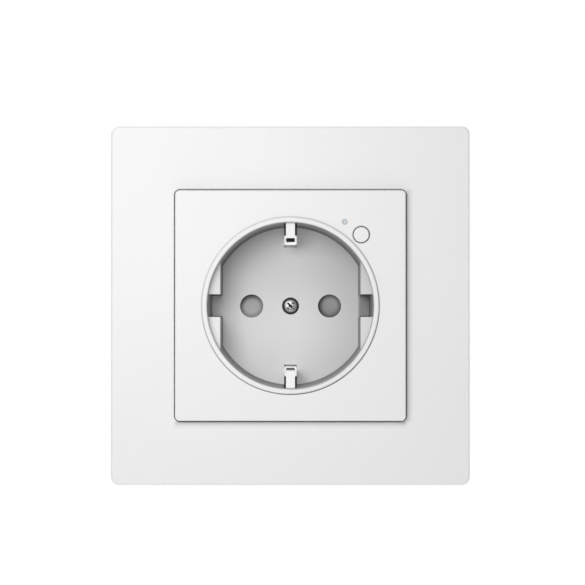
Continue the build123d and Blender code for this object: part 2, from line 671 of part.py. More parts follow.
line_contact = contact_fork(PIN_X)
save(line_contact, "line_contact")

with BuildPart() as neutral_contact:
    add(contact_fork(-PIN_X).part)
    # The outer leaf runs down and turns back into the terminal as its clamping tongue
    leaf_x = (-PIN_X - leaf_outer, -PIN_X - leaf_inner)
    block(leaf_x, LEG_Y, (TONGUE_BOTTOM, -LEAF_HALF_Z + SMALL))
    block((leaf_x[0], -PIN_X + TONGUE_HALF_X), LEG_Y, (TONGUE_BOTTOM, TONGUE_TOP))
    tongue_x = (-PIN_X - TONGUE_HALF_X, -PIN_X + TONGUE_HALF_X)
    block(tongue_x, (LEG_Y[1] - SMALL, TONGUE_END), (TONGUE_BOTTOM, TONGUE_TOP))
save(neutral_contact, "neutral_contact")

with BuildPart() as line_busbar:
    tongue_x = (PIN_X - TONGUE_HALF_X, PIN_X + TONGUE_HALF_X)
    block(tongue_x, (BUSBAR_FRONT, TONGUE_END), (TONGUE_BOTTOM, TONGUE_TOP))
    strip_y = (BUSBAR_FRONT, BUSBAR_FRONT + CONTACT_SHEET)
    block(tongue_x, strip_y, (TONGUE_BOTTOM, BUSBAR_TAIL_Z[1]))
    tail_x = (PIN_X - BUSBAR_TAIL_HALF_X, PIN_X + BUSBAR_TAIL_HALF_X)
    block(tail_x, (BUSBAR_FRONT, TAIL_END - SMALL), BUSBAR_TAIL_Z)
save(line_busbar, "line_busbar")

# ---------------------------------------------------------------- earthing

with BuildPart() as earth_bow:
    bow_x = (-BOW_HALF_X, BOW_HALF_X)
    block(bow_x, (BOW_FRONT, BOW_BACK), (TONGUE_BOTTOM, BOW_TOP))
    disc(0, 0, BOW_HOLE_RADIUS, BOW_FRONT - 1, BOW_BACK + 1, Mode.SUBTRACT)
    block(bow_x, (BOW_FRONT, BOW_LEG_BACK), (TONGUE_BOTTOM, TONGUE_TOP))
    tongue_y = (BOW_LEG_BACK - SMALL, TONGUE_END)
    block((-TONGUE_HALF_X, TONGUE_HALF_X), tongue_y, (TONGUE_BOTTOM, TONGUE_TOP))
save(earth_bow, "earth_bow")

# Centre line of a clip in (radius, depth): free end, ramp, crest, return, leg, foot
CLIP_LINE = [(19.95, -6.3), (16.95, -2.4), (15.0, 0.5), (15.55, 3.0), (16.0, 7.0)]


def earth_clip(side_z):
    """Sprung strip that reaches the plug's side contact, with a lanced window at its crest."""
    with BuildPart() as clip:
        with BuildSketch(Plane.YZ.offset(-CLIP_WIDE / 2)):
            with BuildLine():
                corners = [(depth, side_z * radius) for radius, depth in CLIP_LINE]
                corners.append((CLIP_FOOT_DEPTH, side_z * CLIP_ROOT_RADIUS))
                corners.append((CLIP_FOOT_DEPTH, side_z * CLIP_FOOT_END))
                FilletPolyline(*corners, radius=CLIP_BEND)
            trace(line_width=CLIP_STRIP)
        extrude(amount=CLIP_WIDE)
        # The ramp is narrower than the rest, and its free end has clipped corners
        for side_x in (-1, 1):
            cut_x = sorted((side_x * CLIP_NARROW / 2, side_x * CLIP_WIDE))
            cut_z = sorted((side_z * 16.87, side_z * 21.0))
            block(cut_x, (-8.0, 0.0), cut_z, Mode.SUBTRACT)
        with BuildSketch(facing(-5.0)):
            for side_x in (-1, 1):
                Polygon(
                    (side_x * 0.65, side_z * 20.55),
                    (side_x * 1.4, side_z * 20.55),
                    (side_x * 1.4, side_z * 19.55),
                    align=None,
                )
        extrude(amount=3, mode=Mode.SUBTRACT)
        # Window, and the tongue bent back from its outer edge
        window_z = sorted(side_z * radius for radius in CLIP_WINDOW)
        window_x = (-CLIP_WINDOW_HALF, CLIP_WINDOW_HALF)
        block(window_x, (-3.5, 1.6), window_z, Mode.SUBTRACT)
        with BuildSketch(Plane.YZ.offset(-1.0)):
            Polygon(
                (-2.1, side_z * 16.45),
                (-1.75, side_z * 16.05),
                (0.55, side_z * 15.45),
                (0.45, side_z * 15.85),
                (-1.35, side_z * 16.6),
                align=None,
            )
        extrude(amount=2.0)
    return clip


earth_clip_upper = earth_clip(1)
save(earth_clip_upper, "earth_clip_upper")

earth_clip_lower = earth_clip(-1)
save(earth_clip_lower, "earth_clip_lower")

# ---------------------------------------------------------------- terminals

cage_y = (CAGE_FRONT, CAGE_BACK)
screw_y = (CAGE_FRONT + CAGE_BACK) / 2

for name, x in TERMINALS.items():
    with BuildPart() as terminal_cage:
        block((x - CAGE_HALF_X, x + CAGE_HALF_X), cage_y, (CAGE_BOTTOM, CAGE_TOP))
        fillet(terminal_cage.edges().filter_by(Axis.Y), CAGE_ROUND)
        inner_x = (x - CAGE_INNER_HALF_X, x + CAGE_INNER_HALF_X)
        block(inner_x, (CAGE_FRONT - 1, CAGE_BACK + 1), (CAGE_FLOOR, CAGE_ROOF), Mode.SUBTRACT)
        with BuildSketch(Plane.XY.offset(CAGE_BOTTOM - 1)):
            with Locations((x, screw_y)):
                Circle(CLAMP_RADIUS + 0.05)
        extrude(amount=3, mode=Mode.SUBTRACT)
    save(terminal_cage, f"terminal_cage_{name}")

    with BuildPart() as terminal_screw:
        with BuildSketch(Plane.XY.offset(CLAMP_HEAD_BOTTOM)):
            with Locations((x, screw_y)):
                Circle(CLAMP_HEAD_RADIUS)
        extrude(amount=CLAMP_HEAD_TOP - CLAMP_HEAD_BOTTOM)
        with BuildSketch(Plane.XY.offset(CLAMP_HEAD_TOP - SMALL)):
            with Locations((x, screw_y)):
                Circle(CLAMP_RADIUS)
        extrude(amount=CAGE_FLOOR - CLAMP_HEAD_TOP + SMALL)
        with BuildSketch(Plane.XY.offset(CLAMP_HEAD_BOTTOM)):
            with Locations((x, screw_y)):
                Rectangle(*CLAMP_CROSS)
                Rectangle(*reversed(CLAMP_CROSS))
        extrude(amount=CLAMP_CROSS_DEPTH, mode=Mode.SUBTRACT)
    save(terminal_screw, f"terminal_screw_{name}")

# ---------------------------------------------------------------- circuit boards

FAR = 40.0


def around(radius, angle):
    """Place on a circle round the recess, by its angle above the right-hand side."""
    return (radius * cos(radians(angle)), radius * sin(radians(angle)))


header_pins = [around(HEADER_RADIUS, angle) for angle in HEADER_PIN_ANGLES]

with BuildPart() as main_board:
    with BuildSketch(facing(BOARD_BACK)):
        housing_outline(BOARD_HALF, BOARD_RADIUS)
        with Locations((0, BOARD_BOTTOM - 10)):
            Rectangle(60, 20, mode=Mode.SUBTRACT)
        with Locations(HOUSING_POSTS[0]):
            Circle(POST_RADIUS + 0.4, mode=Mode.SUBTRACT)
        for side_x in (-1, 1):
            with Locations((side_x * PIN_X, 0)):
                Rectangle(3.4, 1.2, mode=Mode.SUBTRACT)
        # Slots and holes for the tails and leads that pass through the board
        with Locations((PIN_X, -7.8)):
            Rectangle(3.0, 1.2, mode=Mode.SUBTRACT)
        with Locations((RADIO_X, RADIO_Z)):
            Rectangle(8.3, 1.1, mode=Mode.SUBTRACT)
        with Locations((FIXED_CONTACT_X, RELAY_Z)):
            Rectangle(0.8, 3.4, mode=Mode.SUBTRACT)
        with Locations((FUSE_X, FUSE_Z)):
            Circle(0.4, mode=Mode.SUBTRACT)
        with Locations(*[(x, VARISTOR_LEAD_Z) for x in VARISTOR_LEADS]):
            Rectangle(0.8, 0.8, mode=Mode.SUBTRACT)
        with Locations(*header_pins):
            Circle(HEADER_PIN_HOLE, mode=Mode.SUBTRACT)
    extrude(amount=BOARD_BACK - BOARD_FRONT)
save(main_board, "main_board")

with BuildPart() as control_board:
    with BuildSketch(facing(CONTROL_BACK)):
        Circle(CONTROL_RADIUS)
        Circle(WELL_OUTER + 0.3, mode=Mode.SUBTRACT)
        Polygon(
            (0, 0),
            around(FAR, CONTROL_ANGLES[0]),
            (FAR, FAR),
            around(FAR, CONTROL_ANGLES[1]),
            align=None,
            mode=Mode.INTERSECT,
        )
        Rectangle(2 * BOARD_HALF, 2 * BOARD_HALF, mode=Mode.INTERSECT)
        with Locations(*header_pins):
            Circle(HEADER_PIN_HOLE, mode=Mode.SUBTRACT)
    extrude(amount=CONTROL_BACK - CONTROL_FRONT)
save(control_board, "control_board")

with BuildPart() as tact_switch:
    with BuildSketch(facing(CONTROL_FRONT)):
        with Locations(Location((BUTTON_X, BUTTON_Z, 0), 45)):
            Rectangle(*SWITCH_SIDES)
    extrude(amount=CONTROL_FRONT - SWITCH_FRONT)
    disc(BUTTON_X, BUTTON_Z, SWITCH_WELL_RADIUS, STEM_Y[0], CONTROL_FRONT - 0.2, Mode.SUBTRACT)
save(tact_switch, "tact_switch")

with BuildPart() as tact_stem:
    disc(BUTTON_X, BUTTON_Z, STEM_RADIUS, *STEM_Y)
save(tact_stem, "tact_stem")

with BuildPart() as status_led:
    with BuildSketch(facing(CONTROL_FRONT)):
        with Locations(Location((LAMP_X, LAMP_Z, 0), LAMP_ANGLE)):
            Rectangle(*LED_SIDES)
    extrude(amount=LED_RISE)
save(status_led, "status_led")

with BuildPart() as board_header:
    with BuildSketch(facing(BOARD_FRONT)):
        Circle(HEADER_RADIUS + HEADER_HALF)
        Circle(HEADER_RADIUS - HEADER_HALF, mode=Mode.SUBTRACT)
        Polygon(
            (0, 0),
            around(FAR, HEADER_ANGLES[0]),
            around(FAR, HEADER_ANGLES[1]),
            align=None,
            mode=Mode.INTERSECT,
        )
    extrude(amount=HEADER_RISE)
    for x, z in header_pins:
        disc(x, z, HEADER_PIN_RADIUS, CONTROL_FRONT - 0.6, BOARD_BACK + 0.6)
save(board_header, "board_header")

# ---------------------------------------------------------------- relay

relay_z = (RELAY_Z - 6.0, RELAY_Z + 6.0)
blade_z = (RELAY_Z - BLADE_HALF_Z, RELAY_Z + BLADE_HALF_Z)
yoke_z = (RELAY_Z - YOKE_HALF_Z, RELAY_Z + YOKE_HALF_Z)

with BuildPart() as relay_base:
    block(RELAY_X, (RELAY_BASE_FRONT, BOARD_FRONT), relay_z)
    slot_x = (FIXED_CONTACT_X - 0.35, FIXED_CONTACT_X + 0.35)
    slot_y = (RELAY_BASE_FRONT - 1, BOARD_FRONT + 1)
    block(slot_x, slot_y, (RELAY_Z - 1.6, RELAY_Z + 1.6), Mode.SUBTRACT)
save(relay_base, "relay_base")

with BuildPart() as relay_case:
    block(RELAY_X, (RELAY_FRONT, RELAY_BASE_FRONT), relay_z)
    fillet(relay_case.edges().filter_by(Axis.Y), RELAY_ROUND)
    inner_x = (RELAY_X[0] + RELAY_WALL, RELAY_X[1] - RELAY_WALL)
    inner_y = (RELAY_FRONT + RELAY_WALL, RELAY_BASE_FRONT + SMALL)
    inner_z = (relay_z[0] + RELAY_WALL, relay_z[1] - RELAY_WALL)
    block(inner_x, inner_y, inner_z, Mode.SUBTRACT)
save(relay_case, "relay_case")

with BuildPart() as relay_core:
    disc(COIL_X, RELAY_Z, CORE_RADIUS, 20.4, 26.4)
    disc(COIL_X, RELAY_Z, POLE_RADIUS, 20.0, 20.5)
save(relay_core, "relay_core")

with BuildPart() as relay_coil:
    disc(COIL_X, RELAY_Z, COIL_RADIUS, *COIL_Y)
    with BuildSketch(facing(COIL_Y[1] - COIL_FLANGE)):
        with Locations((COIL_X, RELAY_Z)):
            Circle(COIL_RADIUS + SMALL)
            Circle(COIL_WOUND_RADIUS, mode=Mode.SUBTRACT)
    extrude(amount=COIL_Y[1] - COIL_Y[0] - 2 * COIL_FLANGE, mode=Mode.SUBTRACT)
    disc(COIL_X, RELAY_Z, CORE_RADIUS + 0.05, COIL_Y[0] - 1, COIL_Y[1] + 1, Mode.SUBTRACT)
save(relay_coil, "relay_coil")

with BuildPart() as relay_yoke:
    block((COIL_X - 3.0, YOKE_X[1]), (26.4, 26.95), yoke_z)
    block(YOKE_X, (19.75, 26.5), yoke_z)
save(relay_yoke, "relay_yoke")

with BuildPart() as relay_armature:
    block(ARMATURE_X, ARMATURE_Y, (RELAY_Z - ARMATURE_HALF_Z, RELAY_Z + ARMATURE_HALF_Z))
save(relay_armature, "relay_armature")

with BuildPart() as relay_blade:
    blade_front = ARMATURE_Y[0] - BLADE
    block((-1.0, 3.0 + BLADE), (blade_front, ARMATURE_Y[0]), blade_z)
    block((3.0, 3.0 + BLADE), (blade_front, CONTACT_Y + CONTACT_RADIUS), blade_z)
    with BuildSketch(Plane.YZ.offset(3.2)):
        with Locations((CONTACT_Y, RELAY_Z)):
            Circle(CONTACT_RADIUS)
    extrude(amount=0.5)
save(relay_blade, "relay_blade")

with BuildPart() as relay_fixed_contact:
    strip_x = (FIXED_CONTACT_X - 0.25, FIXED_CONTACT_X + 0.25)
    block(strip_x, (22.5, 30.2), (RELAY_Z - 1.5, RELAY_Z + 1.5))
    with BuildSketch(Plane.YZ.offset(4.0)):
        with Locations((CONTACT_Y, RELAY_Z)):
            Circle(CONTACT_RADIUS)
    extrude(amount=0.6)
save(relay_fixed_contact, "relay_fixed_contact")

# ---------------------------------------------------------------- parts on the main board

with BuildPart() as transformer_core:
    block((-18.2, -10.2), (19.6, 27.2), (9.3, 15.7))
    block((-16.9, -11.5), (20.9, 25.9), (9.0, 16.0), Mode.SUBTRACT)
    block((-15.1, -13.3), (20.0, 26.8), (9.3, 15.7))
save(transformer_core, "transformer_core")

with BuildPart() as transformer_winding:
    block((-16.8, -11.6), (21.0, 25.8), (8.5, 16.5))
    fillet(transformer_winding.edges().filter_by(Axis.Y), 1.0)
    block((-15.2, -13.2), (20.0, 26.8), (9.2, 15.8), Mode.SUBTRACT)
    block((-17.4, -11.0), (27.2, BOARD_FRONT), (9.0, 16.0))
    block((-17.3, -16.95), (25.0, 27.3), (15.72, 16.0))
    block((-17.3, -16.5), (25.0, 25.3), (15.72, 16.0))
save(transformer_winding, "transformer_winding")

with BuildPart() as bulk_capacitor:
    disc(-19.0, 0, 3.7, 19.0, BOARD_FRONT)
    fillet(bulk_capacitor.edges().sort_by(Axis.Y)[0], 0.4)
save(bulk_capacitor, "bulk_capacitor")

with BuildPart() as film_capacitor:
    block((15.5, 22.0), (20.0, BOARD_FRONT), (-5.9, 5.9))
    fillet(film_capacitor.edges().filter_by(Axis.Y), 0.5)
save(film_capacitor, "film_capacitor")

with BuildPart() as varistor:
    with BuildSketch(Plane.XY.offset(-8.4)):
        with Locations((-18.2, 24.4)):
            Circle(3.1)
    extrude(amount=2.6)
    for x in VARISTOR_LEADS:
        lead_z = (VARISTOR_LEAD_Z - 0.25, VARISTOR_LEAD_Z + 0.25)
        block((x - 0.25, x + 0.25), (25.5, BOARD_BACK + 0.5), lead_z)
save(varistor, "varistor")

with BuildPart() as fuse_resistor:
    disc(FUSE_X, FUSE_Z, 1.4, 20.5, 26.8)
    fillet(fuse_resistor.edges().filter_by(GeomType.CIRCLE), 0.4)
    disc(FUSE_X, FUSE_Z, 0.3, 26.0, BOARD_BACK + 0.5)
save(fuse_resistor, "fuse_resistor")

with BuildPart() as radio_board:
    block((RADIO_X - 4, RADIO_X + 4), (18.0, 30.0), (RADIO_Z - 0.4, RADIO_Z + 0.4))
save(radio_board, "radio_board")

with BuildPart() as radio_shield:
    block((RADIO_X - 3.5, RADIO_X + 3.5), (20.5, 27.0), (RADIO_Z - 2.2, RADIO_Z - 0.4))
    fillet(radio_shield.faces().sort_by(Axis.Z)[0].edges(), 0.3)
save(radio_shield, "radio_shield")

with BuildPart() as shunt_resistor:
    block((2.5, 7.0), (BOARD_BACK, 30.4), (-8.9, -6.3))
save(shunt_resistor, "shunt_resistor")


def chip(x, z, width, height, thickness):
    """Chip package on the back of the main board, with a row of leads on both sides."""
    body_y = (BOARD_BACK + 0.1, BOARD_BACK + thickness)
    block((x - width / 2, x + width / 2), body_y, (z - height / 2, z + height / 2))
    for lead in range(4):
        lead_z = z + (lead - 1.5) * 1.0
        lead_x = (x - width / 2 - 0.8, x + width / 2 + 0.8)
        block(lead_x, (BOARD_BACK, BOARD_BACK + 0.3), (lead_z - 0.2, lead_z + 0.2))


with BuildPart() as metering_chip:
    chip(1.0, -1.0, 4.0, 5.0, 1.5)
save(metering_chip, "metering_chip")

with BuildPart() as converter_chip:
    chip(-13.5, 9.0, 4.0, 5.0, 1.5)
save(converter_chip, "converter_chip")

with BuildPart() as chip_parts:
    for column in range(4):
        for row in range(2):
            x = -4.0 + 3.2 * column
            z = 5.5 + 2.4 * row
            block((x - 0.8, x + 0.8), (BOARD_BACK, BOARD_BACK + 0.6), (z - 0.4, z + 0.4))
save(chip_parts, "chip_parts")
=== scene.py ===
import json
import math

import bmesh
import bpy
from mathutils import Matrix, Vector


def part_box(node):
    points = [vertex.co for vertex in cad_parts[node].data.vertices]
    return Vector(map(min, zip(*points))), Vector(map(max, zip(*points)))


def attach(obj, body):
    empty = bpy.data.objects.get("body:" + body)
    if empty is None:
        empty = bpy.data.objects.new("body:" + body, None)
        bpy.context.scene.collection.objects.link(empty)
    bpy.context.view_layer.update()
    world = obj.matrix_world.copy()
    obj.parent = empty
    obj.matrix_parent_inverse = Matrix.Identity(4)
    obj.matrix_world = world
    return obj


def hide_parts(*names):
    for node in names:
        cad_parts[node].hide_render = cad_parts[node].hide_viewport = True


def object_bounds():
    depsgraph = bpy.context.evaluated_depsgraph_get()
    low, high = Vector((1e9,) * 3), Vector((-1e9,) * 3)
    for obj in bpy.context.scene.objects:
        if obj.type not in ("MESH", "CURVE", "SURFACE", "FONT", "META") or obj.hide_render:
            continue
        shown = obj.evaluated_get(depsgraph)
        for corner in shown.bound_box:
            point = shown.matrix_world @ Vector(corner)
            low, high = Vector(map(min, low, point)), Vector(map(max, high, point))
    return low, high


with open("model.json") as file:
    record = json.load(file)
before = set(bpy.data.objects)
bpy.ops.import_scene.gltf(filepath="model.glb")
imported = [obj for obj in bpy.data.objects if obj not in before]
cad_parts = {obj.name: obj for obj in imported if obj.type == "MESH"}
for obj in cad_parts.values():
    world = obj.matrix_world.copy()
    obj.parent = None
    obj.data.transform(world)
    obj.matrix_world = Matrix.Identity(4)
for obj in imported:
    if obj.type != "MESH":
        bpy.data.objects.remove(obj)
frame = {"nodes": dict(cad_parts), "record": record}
cad_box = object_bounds()

# ---------------------------------------------------------------- Cover frame
# The square one-gang frame that hides the bracket. It is injection-moulded in white
# thermoplastic with softened outer edges, and the plate's skirt clamps it to the wall.


class Value:
    """A number or colour on its way through a finish. Arithmetic on it adds Math nodes."""

    def __init__(self, finish, socket):
        self.finish = finish
        self.socket = socket

    def __add__(self, other):
        return self.finish.math("ADD", self, other)

    def __sub__(self, other):
        return self.finish.math("SUBTRACT", self, other)

    def __rsub__(self, other):
        return self.finish.math("SUBTRACT", other, self)

    def __mul__(self, other):
        return self.finish.math("MULTIPLY", self, other)

    def __abs__(self):
        return self.finish.math("ABSOLUTE", self)

    __radd__ = __add__
    __rmul__ = __mul__


class Finish:
    """A procedural finish on a Principled shader; constants are set on its own sockets."""

    def __init__(self, name, colour, roughness, **constants):
        self.material = bpy.data.materials.new(name)
        self.material.use_nodes = True
        self.tree = self.material.node_tree
        self.shader = self.tree.nodes["Principled BSDF"]
        self.shader.inputs["Base Color"].default_value = (*colour, 1)
        self.shader.inputs["Roughness"].default_value = roughness
        for socket, value in constants.items():
            self.shader.inputs[socket.replace("_", " ")].default_value = value
        self.place = self.node("ShaderNodeTexCoord", output="Object")

    def node(self, kind, settings=None, inputs=(), output=0):
        """Add a node: its settings first, then its sockets by name or by order."""
        added = self.tree.nodes.new(kind)
        for name, value in (settings or {}).items():
            setattr(added, name, value)
        pairs = inputs.items() if isinstance(inputs, dict) else enumerate(inputs)
        for socket, value in pairs:
            if isinstance(value, Value):
                self.tree.links.new(value.socket, added.inputs[socket])
            else:
                added.inputs[socket].default_value = value
        return Value(self, added.outputs[output])

    def math(self, operation, *values):
        return self.node("ShaderNodeMath", {"operation": operation}, values)

    def split(self, vector):
        """The three numbers of a vector."""
        parts = self.node("ShaderNodeSeparateXYZ", inputs=[vector]).socket.node
        return [Value(self, parts.outputs[i]) for i in range(3)]

    def axes(self):
        """Object coordinates in millimetres, as three separate numbers."""
        settings = {"operation": "SCALE"}
        return self.split(self.node("ShaderNodeVectorMath", settings, {0: self.place, 3: 1000.0}))

    def ramp(self, value, low, high):
        """0 below low, 1 above high, smooth between."""
        settings = {"interpolation_type": "SMOOTHSTEP"}
        return self.node("ShaderNodeMapRange", settings, [value, low, high, 0.0, 1.0])

    def band(self, value, low, high, edge=0.05):
        """1 between low and high, 0 outside."""
        risen = self.ramp(value, low - edge, low + edge)
        return risen * (1 - self.ramp(value, high - edge, high + edge))

    def noise(self, scale, detail=2.0, stretch=(1, 1, 1)):
        """Cloudy noise from 0 to 1; scale is in features a metre, and stretch lengthens them."""
        settings = {"operation": "MULTIPLY"}
        slowed = tuple(1 / along for along in stretch)
        place = self.node("ShaderNodeVectorMath", settings, [self.place, slowed])
        inputs = {"Vector": place, "Scale": scale, "Detail": detail}
        return self.node("ShaderNodeTexNoise", inputs=inputs)

    def mix(self, factor, one, other):
        """Blend of two colours."""
        node = self.node("ShaderNodeMix", {"data_type": "RGBA"}, {0: factor}).socket.node
        for socket, colour in ((6, one), (7, other)):
            if isinstance(colour, Value):
                self.tree.links.new(colour.socket, node.inputs[socket])
            else:
                node.inputs[socket].default_value = (*colour, 1)
        return Value(self, node.outputs[2])

    def dimmed(self, colour, amount):
        """A colour taken towards black by an amount from 0 to 1."""
        return self.mix(amount, colour, (0, 0, 0))

    def feed(self, socket, value):
        self.tree.links.new(value.socket, self.shader.inputs[socket])

    def bump(self, height, depth):
        """Relief of a depth in metres, from a height of 0 to 1."""
        relief = self.node("ShaderNodeBump", inputs={"Height": height, "Distance": depth})
        self.feed("Normal", relief)


def shade(colour, factor):
    return tuple(channel * factor for channel in colour)


def moulded(name, colour, roughness, grain=0.000004):
    """Moulded plastic: faint flow marks in its colour and gloss, and a fine die texture."""
    plastic = Finish(name, colour, roughness)
    flow = plastic.noise(40.0, 3.0)
    plastic.feed("Base Color", plastic.mix(flow, shade(colour, 0.985), colour))
    plastic.feed("Roughness", roughness - 0.05 + flow * 0.1)
    plastic.bump(plastic.noise(2400.0), grain)
    return plastic


def dress(finish, slot, *nodes):
    """Give CAD pieces their finish; the slot that it is taken from is not used."""
    for node in nodes:
        piece = frame["nodes"][node]
        piece.data.materials.clear()
        piece.data.materials.append(finish.material)


# The light comes from the upper left, so the frame carries a painted shadow in two narrow bands,
# below the plate and to its right. Places in a finish are in millimetres.
white = (0.8, 0.8, 0.797)
FACE_ROUGHNESS = 0.4
OPENING_HALF = 27.85
SHADOW_BAND_START = (OPENING_HALF - 0.1, OPENING_HALF)
SHADOW_BAND_WIDTH = (OPENING_HALF, OPENING_HALF + 1.9)
SHADOW_BAND_LENGTH = (OPENING_HALF - 0.5, OPENING_HALF + 0.3)
DARKER_BELOW = 0.26
DARKER_RIGHT = 0.2

frame_white = moulded("frame_white", white, FACE_ROUGHNESS)
x, _, z = frame_white.axes()
# Painted shadow of the plate on the frame: dark bands that fade out from the opening's edge.
beside = 1 - frame_white.ramp(abs(x), *SHADOW_BAND_LENGTH)
level = 1 - frame_white.ramp(abs(z), *SHADOW_BAND_LENGTH)
painted_shadow_below = (1 - frame_white.ramp(0 - z, *SHADOW_BAND_WIDTH)) * beside
painted_shadow_below = painted_shadow_below * frame_white.ramp(0 - z, *SHADOW_BAND_START)
painted_shadow_right = (1 - frame_white.ramp(x, *SHADOW_BAND_WIDTH)) * level
painted_shadow_right = painted_shadow_right * frame_white.ramp(x, *SHADOW_BAND_START)
painted_shadow = painted_shadow_below * DARKER_BELOW + painted_shadow_right * DARKER_RIGHT
frame_white.feed("Base Color", frame_white.dimmed(white, painted_shadow))
dress(frame_white, "white_frame", "cover_frame")

# ---------------------------------------------------------------- Front plate
# The square plate with the plug recess, moulded in the same white. Painted shade darkens the
# recess wall and floor where they lie deep in it, and painted shadow lines lie on its face.

RING_INSIDE = 20.0
RING_OUTSIDE = 21.15
RING_FRONT = -10.5
SHADOW_LINE_WIDTH = 0.24
RING_SHADOW_DARKER = 0.52
RING_SHADOW_DARKER_RIGHTWARD = 0.006
RING_SHADOW_LIGHTER_UP = 0.014
BUTTON_PLACE = 16.94
BUTTON_EDGE = 1.95
BUTTON_SHADOW_DARKER = 0.45
FLOOR_HEIGHT = (-9.0, 13.0)
FLOOR_SHADED_UNDER_RIM = 0.8
FLOOR_LIT_IN_OPEN = 1.08
RIGHT_SIDE = 0.86
RIGHT_SLOT = 0.5
RIGHT_SLOT_START = (16.2, 17.0)
RIGHT_SLOT_DEPTH = (3.0, 6.5)
WALL_ABOVE = 0.09
WALL_BELOW = 0.15
WALL_AT_RIM = 0.42
WALL_FADE_END = 5.0
FACING_SIDE, FACING_FRONT = 0.35, 0.8

plate_white = moulded("plate_white", white, FACE_ROUGHNESS)
x, depth, z = plate_white.axes()
radius = plate_white.math("SQRT", x * x + z * z)
normal = plate_white.split(plate_white.node("ShaderNodeTexCoord", output="Normal"))
within = 1 - plate_white.ramp(radius, RING_INSIDE - 0.12, RING_INSIDE + 0.05)
below = plate_white.ramp(depth, RING_FRONT + 0.25, RING_FRONT + 0.9)
side_on = 1 - plate_white.ramp(abs(normal[1]), FACING_SIDE, FACING_FRONT)
# Painted shade in the recess: the floor darker under the upper rim, to the right and in the right
# slot, and the wall darker still, most of all deep down.
height = plate_white.ramp(z, *FLOOR_HEIGHT)
floor_painted_shade = plate_white.mix(height, shade(white, FLOOR_LIT_IN_OPEN), shade(white, FLOOR_SHADED_UNDER_RIM))
to_right = plate_white.ramp(x, 0.0, RIGHT_SLOT_START[1])
in_slot = plate_white.ramp(x, *RIGHT_SLOT_START) * plate_white.ramp(depth, *RIGHT_SLOT_DEPTH)
right_shade = to_right * (1 - RIGHT_SIDE) + in_slot * (1 - RIGHT_SLOT)
floor_painted_shade = plate_white.dimmed(floor_painted_shade, right_shade)
wall_shade = plate_white.mix(height, shade(white, WALL_BELOW), shade(white, WALL_ABOVE))
inward = plate_white.ramp(depth, RING_FRONT, WALL_FADE_END)
wall_shade = plate_white.mix(inward, shade(white, WALL_AT_RIM), wall_shade)
recess = plate_white.mix(side_on, floor_painted_shade, wall_shade)
# Painted shadow lines on the face: round the ring's foot, darker towards the lower right, and round
# the button hole.
ring_shadow = plate_white.band(radius, RING_OUTSIDE - 0.02, RING_OUTSIDE + SHADOW_LINE_WIDTH, 0.06)
ring_shadow = ring_shadow * plate_white.band(depth, RING_FRONT + 0.2, RING_FRONT + 0.7)
ring_shadow = ring_shadow * (RING_SHADOW_DARKER + x * RING_SHADOW_DARKER_RIGHTWARD - z * RING_SHADOW_LIGHTER_UP)
off_x = x - BUTTON_PLACE
off_z = z - BUTTON_PLACE
from_button = plate_white.math("SQRT", off_x * off_x + off_z * off_z)
button_hole_shadow = plate_white.band(from_button, BUTTON_EDGE, BUTTON_EDGE + SHADOW_LINE_WIDTH, 0.05)
face = plate_white.dimmed(white, ring_shadow + button_hole_shadow * BUTTON_SHADOW_DARKER)
plate_white.feed("Base Color", plate_white.mix(within * below, face, recess))
dress(plate_white, "white_plate", "center_plate")

# ---------------------------------------------------------------- Push button and lamp
# A separate white cap slides in a round hole in the plate and presses the switch behind.
# Beside it the end of a milky light pipe shows as a grey dot while the lamp is off.

dress(moulded("button_white", white, 0.36), "white_button", "button_cap")

pipe = Finish("light_pipe", (0.7, 0.7, 0.69), 0.3, Subsurface_Weight=0.3)
cloud = pipe.noise(900.0)
pipe.feed("Base Color", pipe.mix(cloud, (0.68, 0.68, 0.67), (0.76, 0.76, 0.75)))
dress(pipe, "clear_pipe", "light_pipe")

# ---------------------------------------------------------------- Centre screw and its nut
# One zinc-plated cross-head machine screw through the middle of the recess holds plate and
# frame. It is cold-headed, its thread is rolled, and it turns into a brass insert.

bodies = frame["record"]["behaviour"]["bodies"]
home = {node: body for body, nodes in bodies.items() for node in nodes}
SHARP_ANGLE = math.radians(32)


def build(name, shape, finish, slot, *stands_for, body=None):
    """Turn a bmesh into a piece with a finish, on the body of the CAD piece it stands for."""
    bmesh.ops.remove_doubles(shape, verts=shape.verts, dist=1e-6)
    bmesh.ops.recalc_face_normals(shape, faces=shape.faces)
    mesh = bpy.data.meshes.new(name)
    shape.to_mesh(mesh)
    shape.free()
    mesh.shade_smooth()
    mesh.set_sharp_from_angle(angle=SHARP_ANGLE)
    mesh.materials.append(finish.material)
    piece = bpy.data.objects.new(name, mesh)
    bpy.context.scene.collection.objects.link(piece)
    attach(piece, body or home[stands_for[0]])
    if stands_for:
        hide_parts(*stands_for)
    return piece


def turned(shape, outline, x=0.0, z=0.0, steps=48):
    """Spin an outline of (radius, depth) points round an axis that runs into the wall."""
    points = [shape.verts.new((x + radius, depth, z)) for radius, depth in outline]
    edges = [shape.edges.new(pair) for pair in zip(points, points[1:])]
    spun = {"cent": (x, 0, z), "axis": (0, 1, 0), "angle": math.tau, "steps": steps}
    bmesh.ops.spin(shape, geom=points + edges, use_merge=True, **spun)


def threaded(shape, root, crest, pitch, start, end, steps=20):
    """A rolled thread round the depth axis: one V, spun and advanced together."""
    turns = int((end - start) / pitch)
    outline = ((root, start), (crest, start + pitch / 2), (root, start + pitch))
    points = [shape.verts.new((radius, depth, 0)) for radius, depth in outline]
    edges = [shape.edges.new(pair) for pair in zip(points, points[1:])]
    advance = {"dvec": (0, pitch / steps, 0), "angle": math.tau * turns, "steps": steps * turns}
    bmesh.ops.spin(shape, geom=points + edges, cent=(0, 0, 0), axis=(0, 1, 0), **advance)


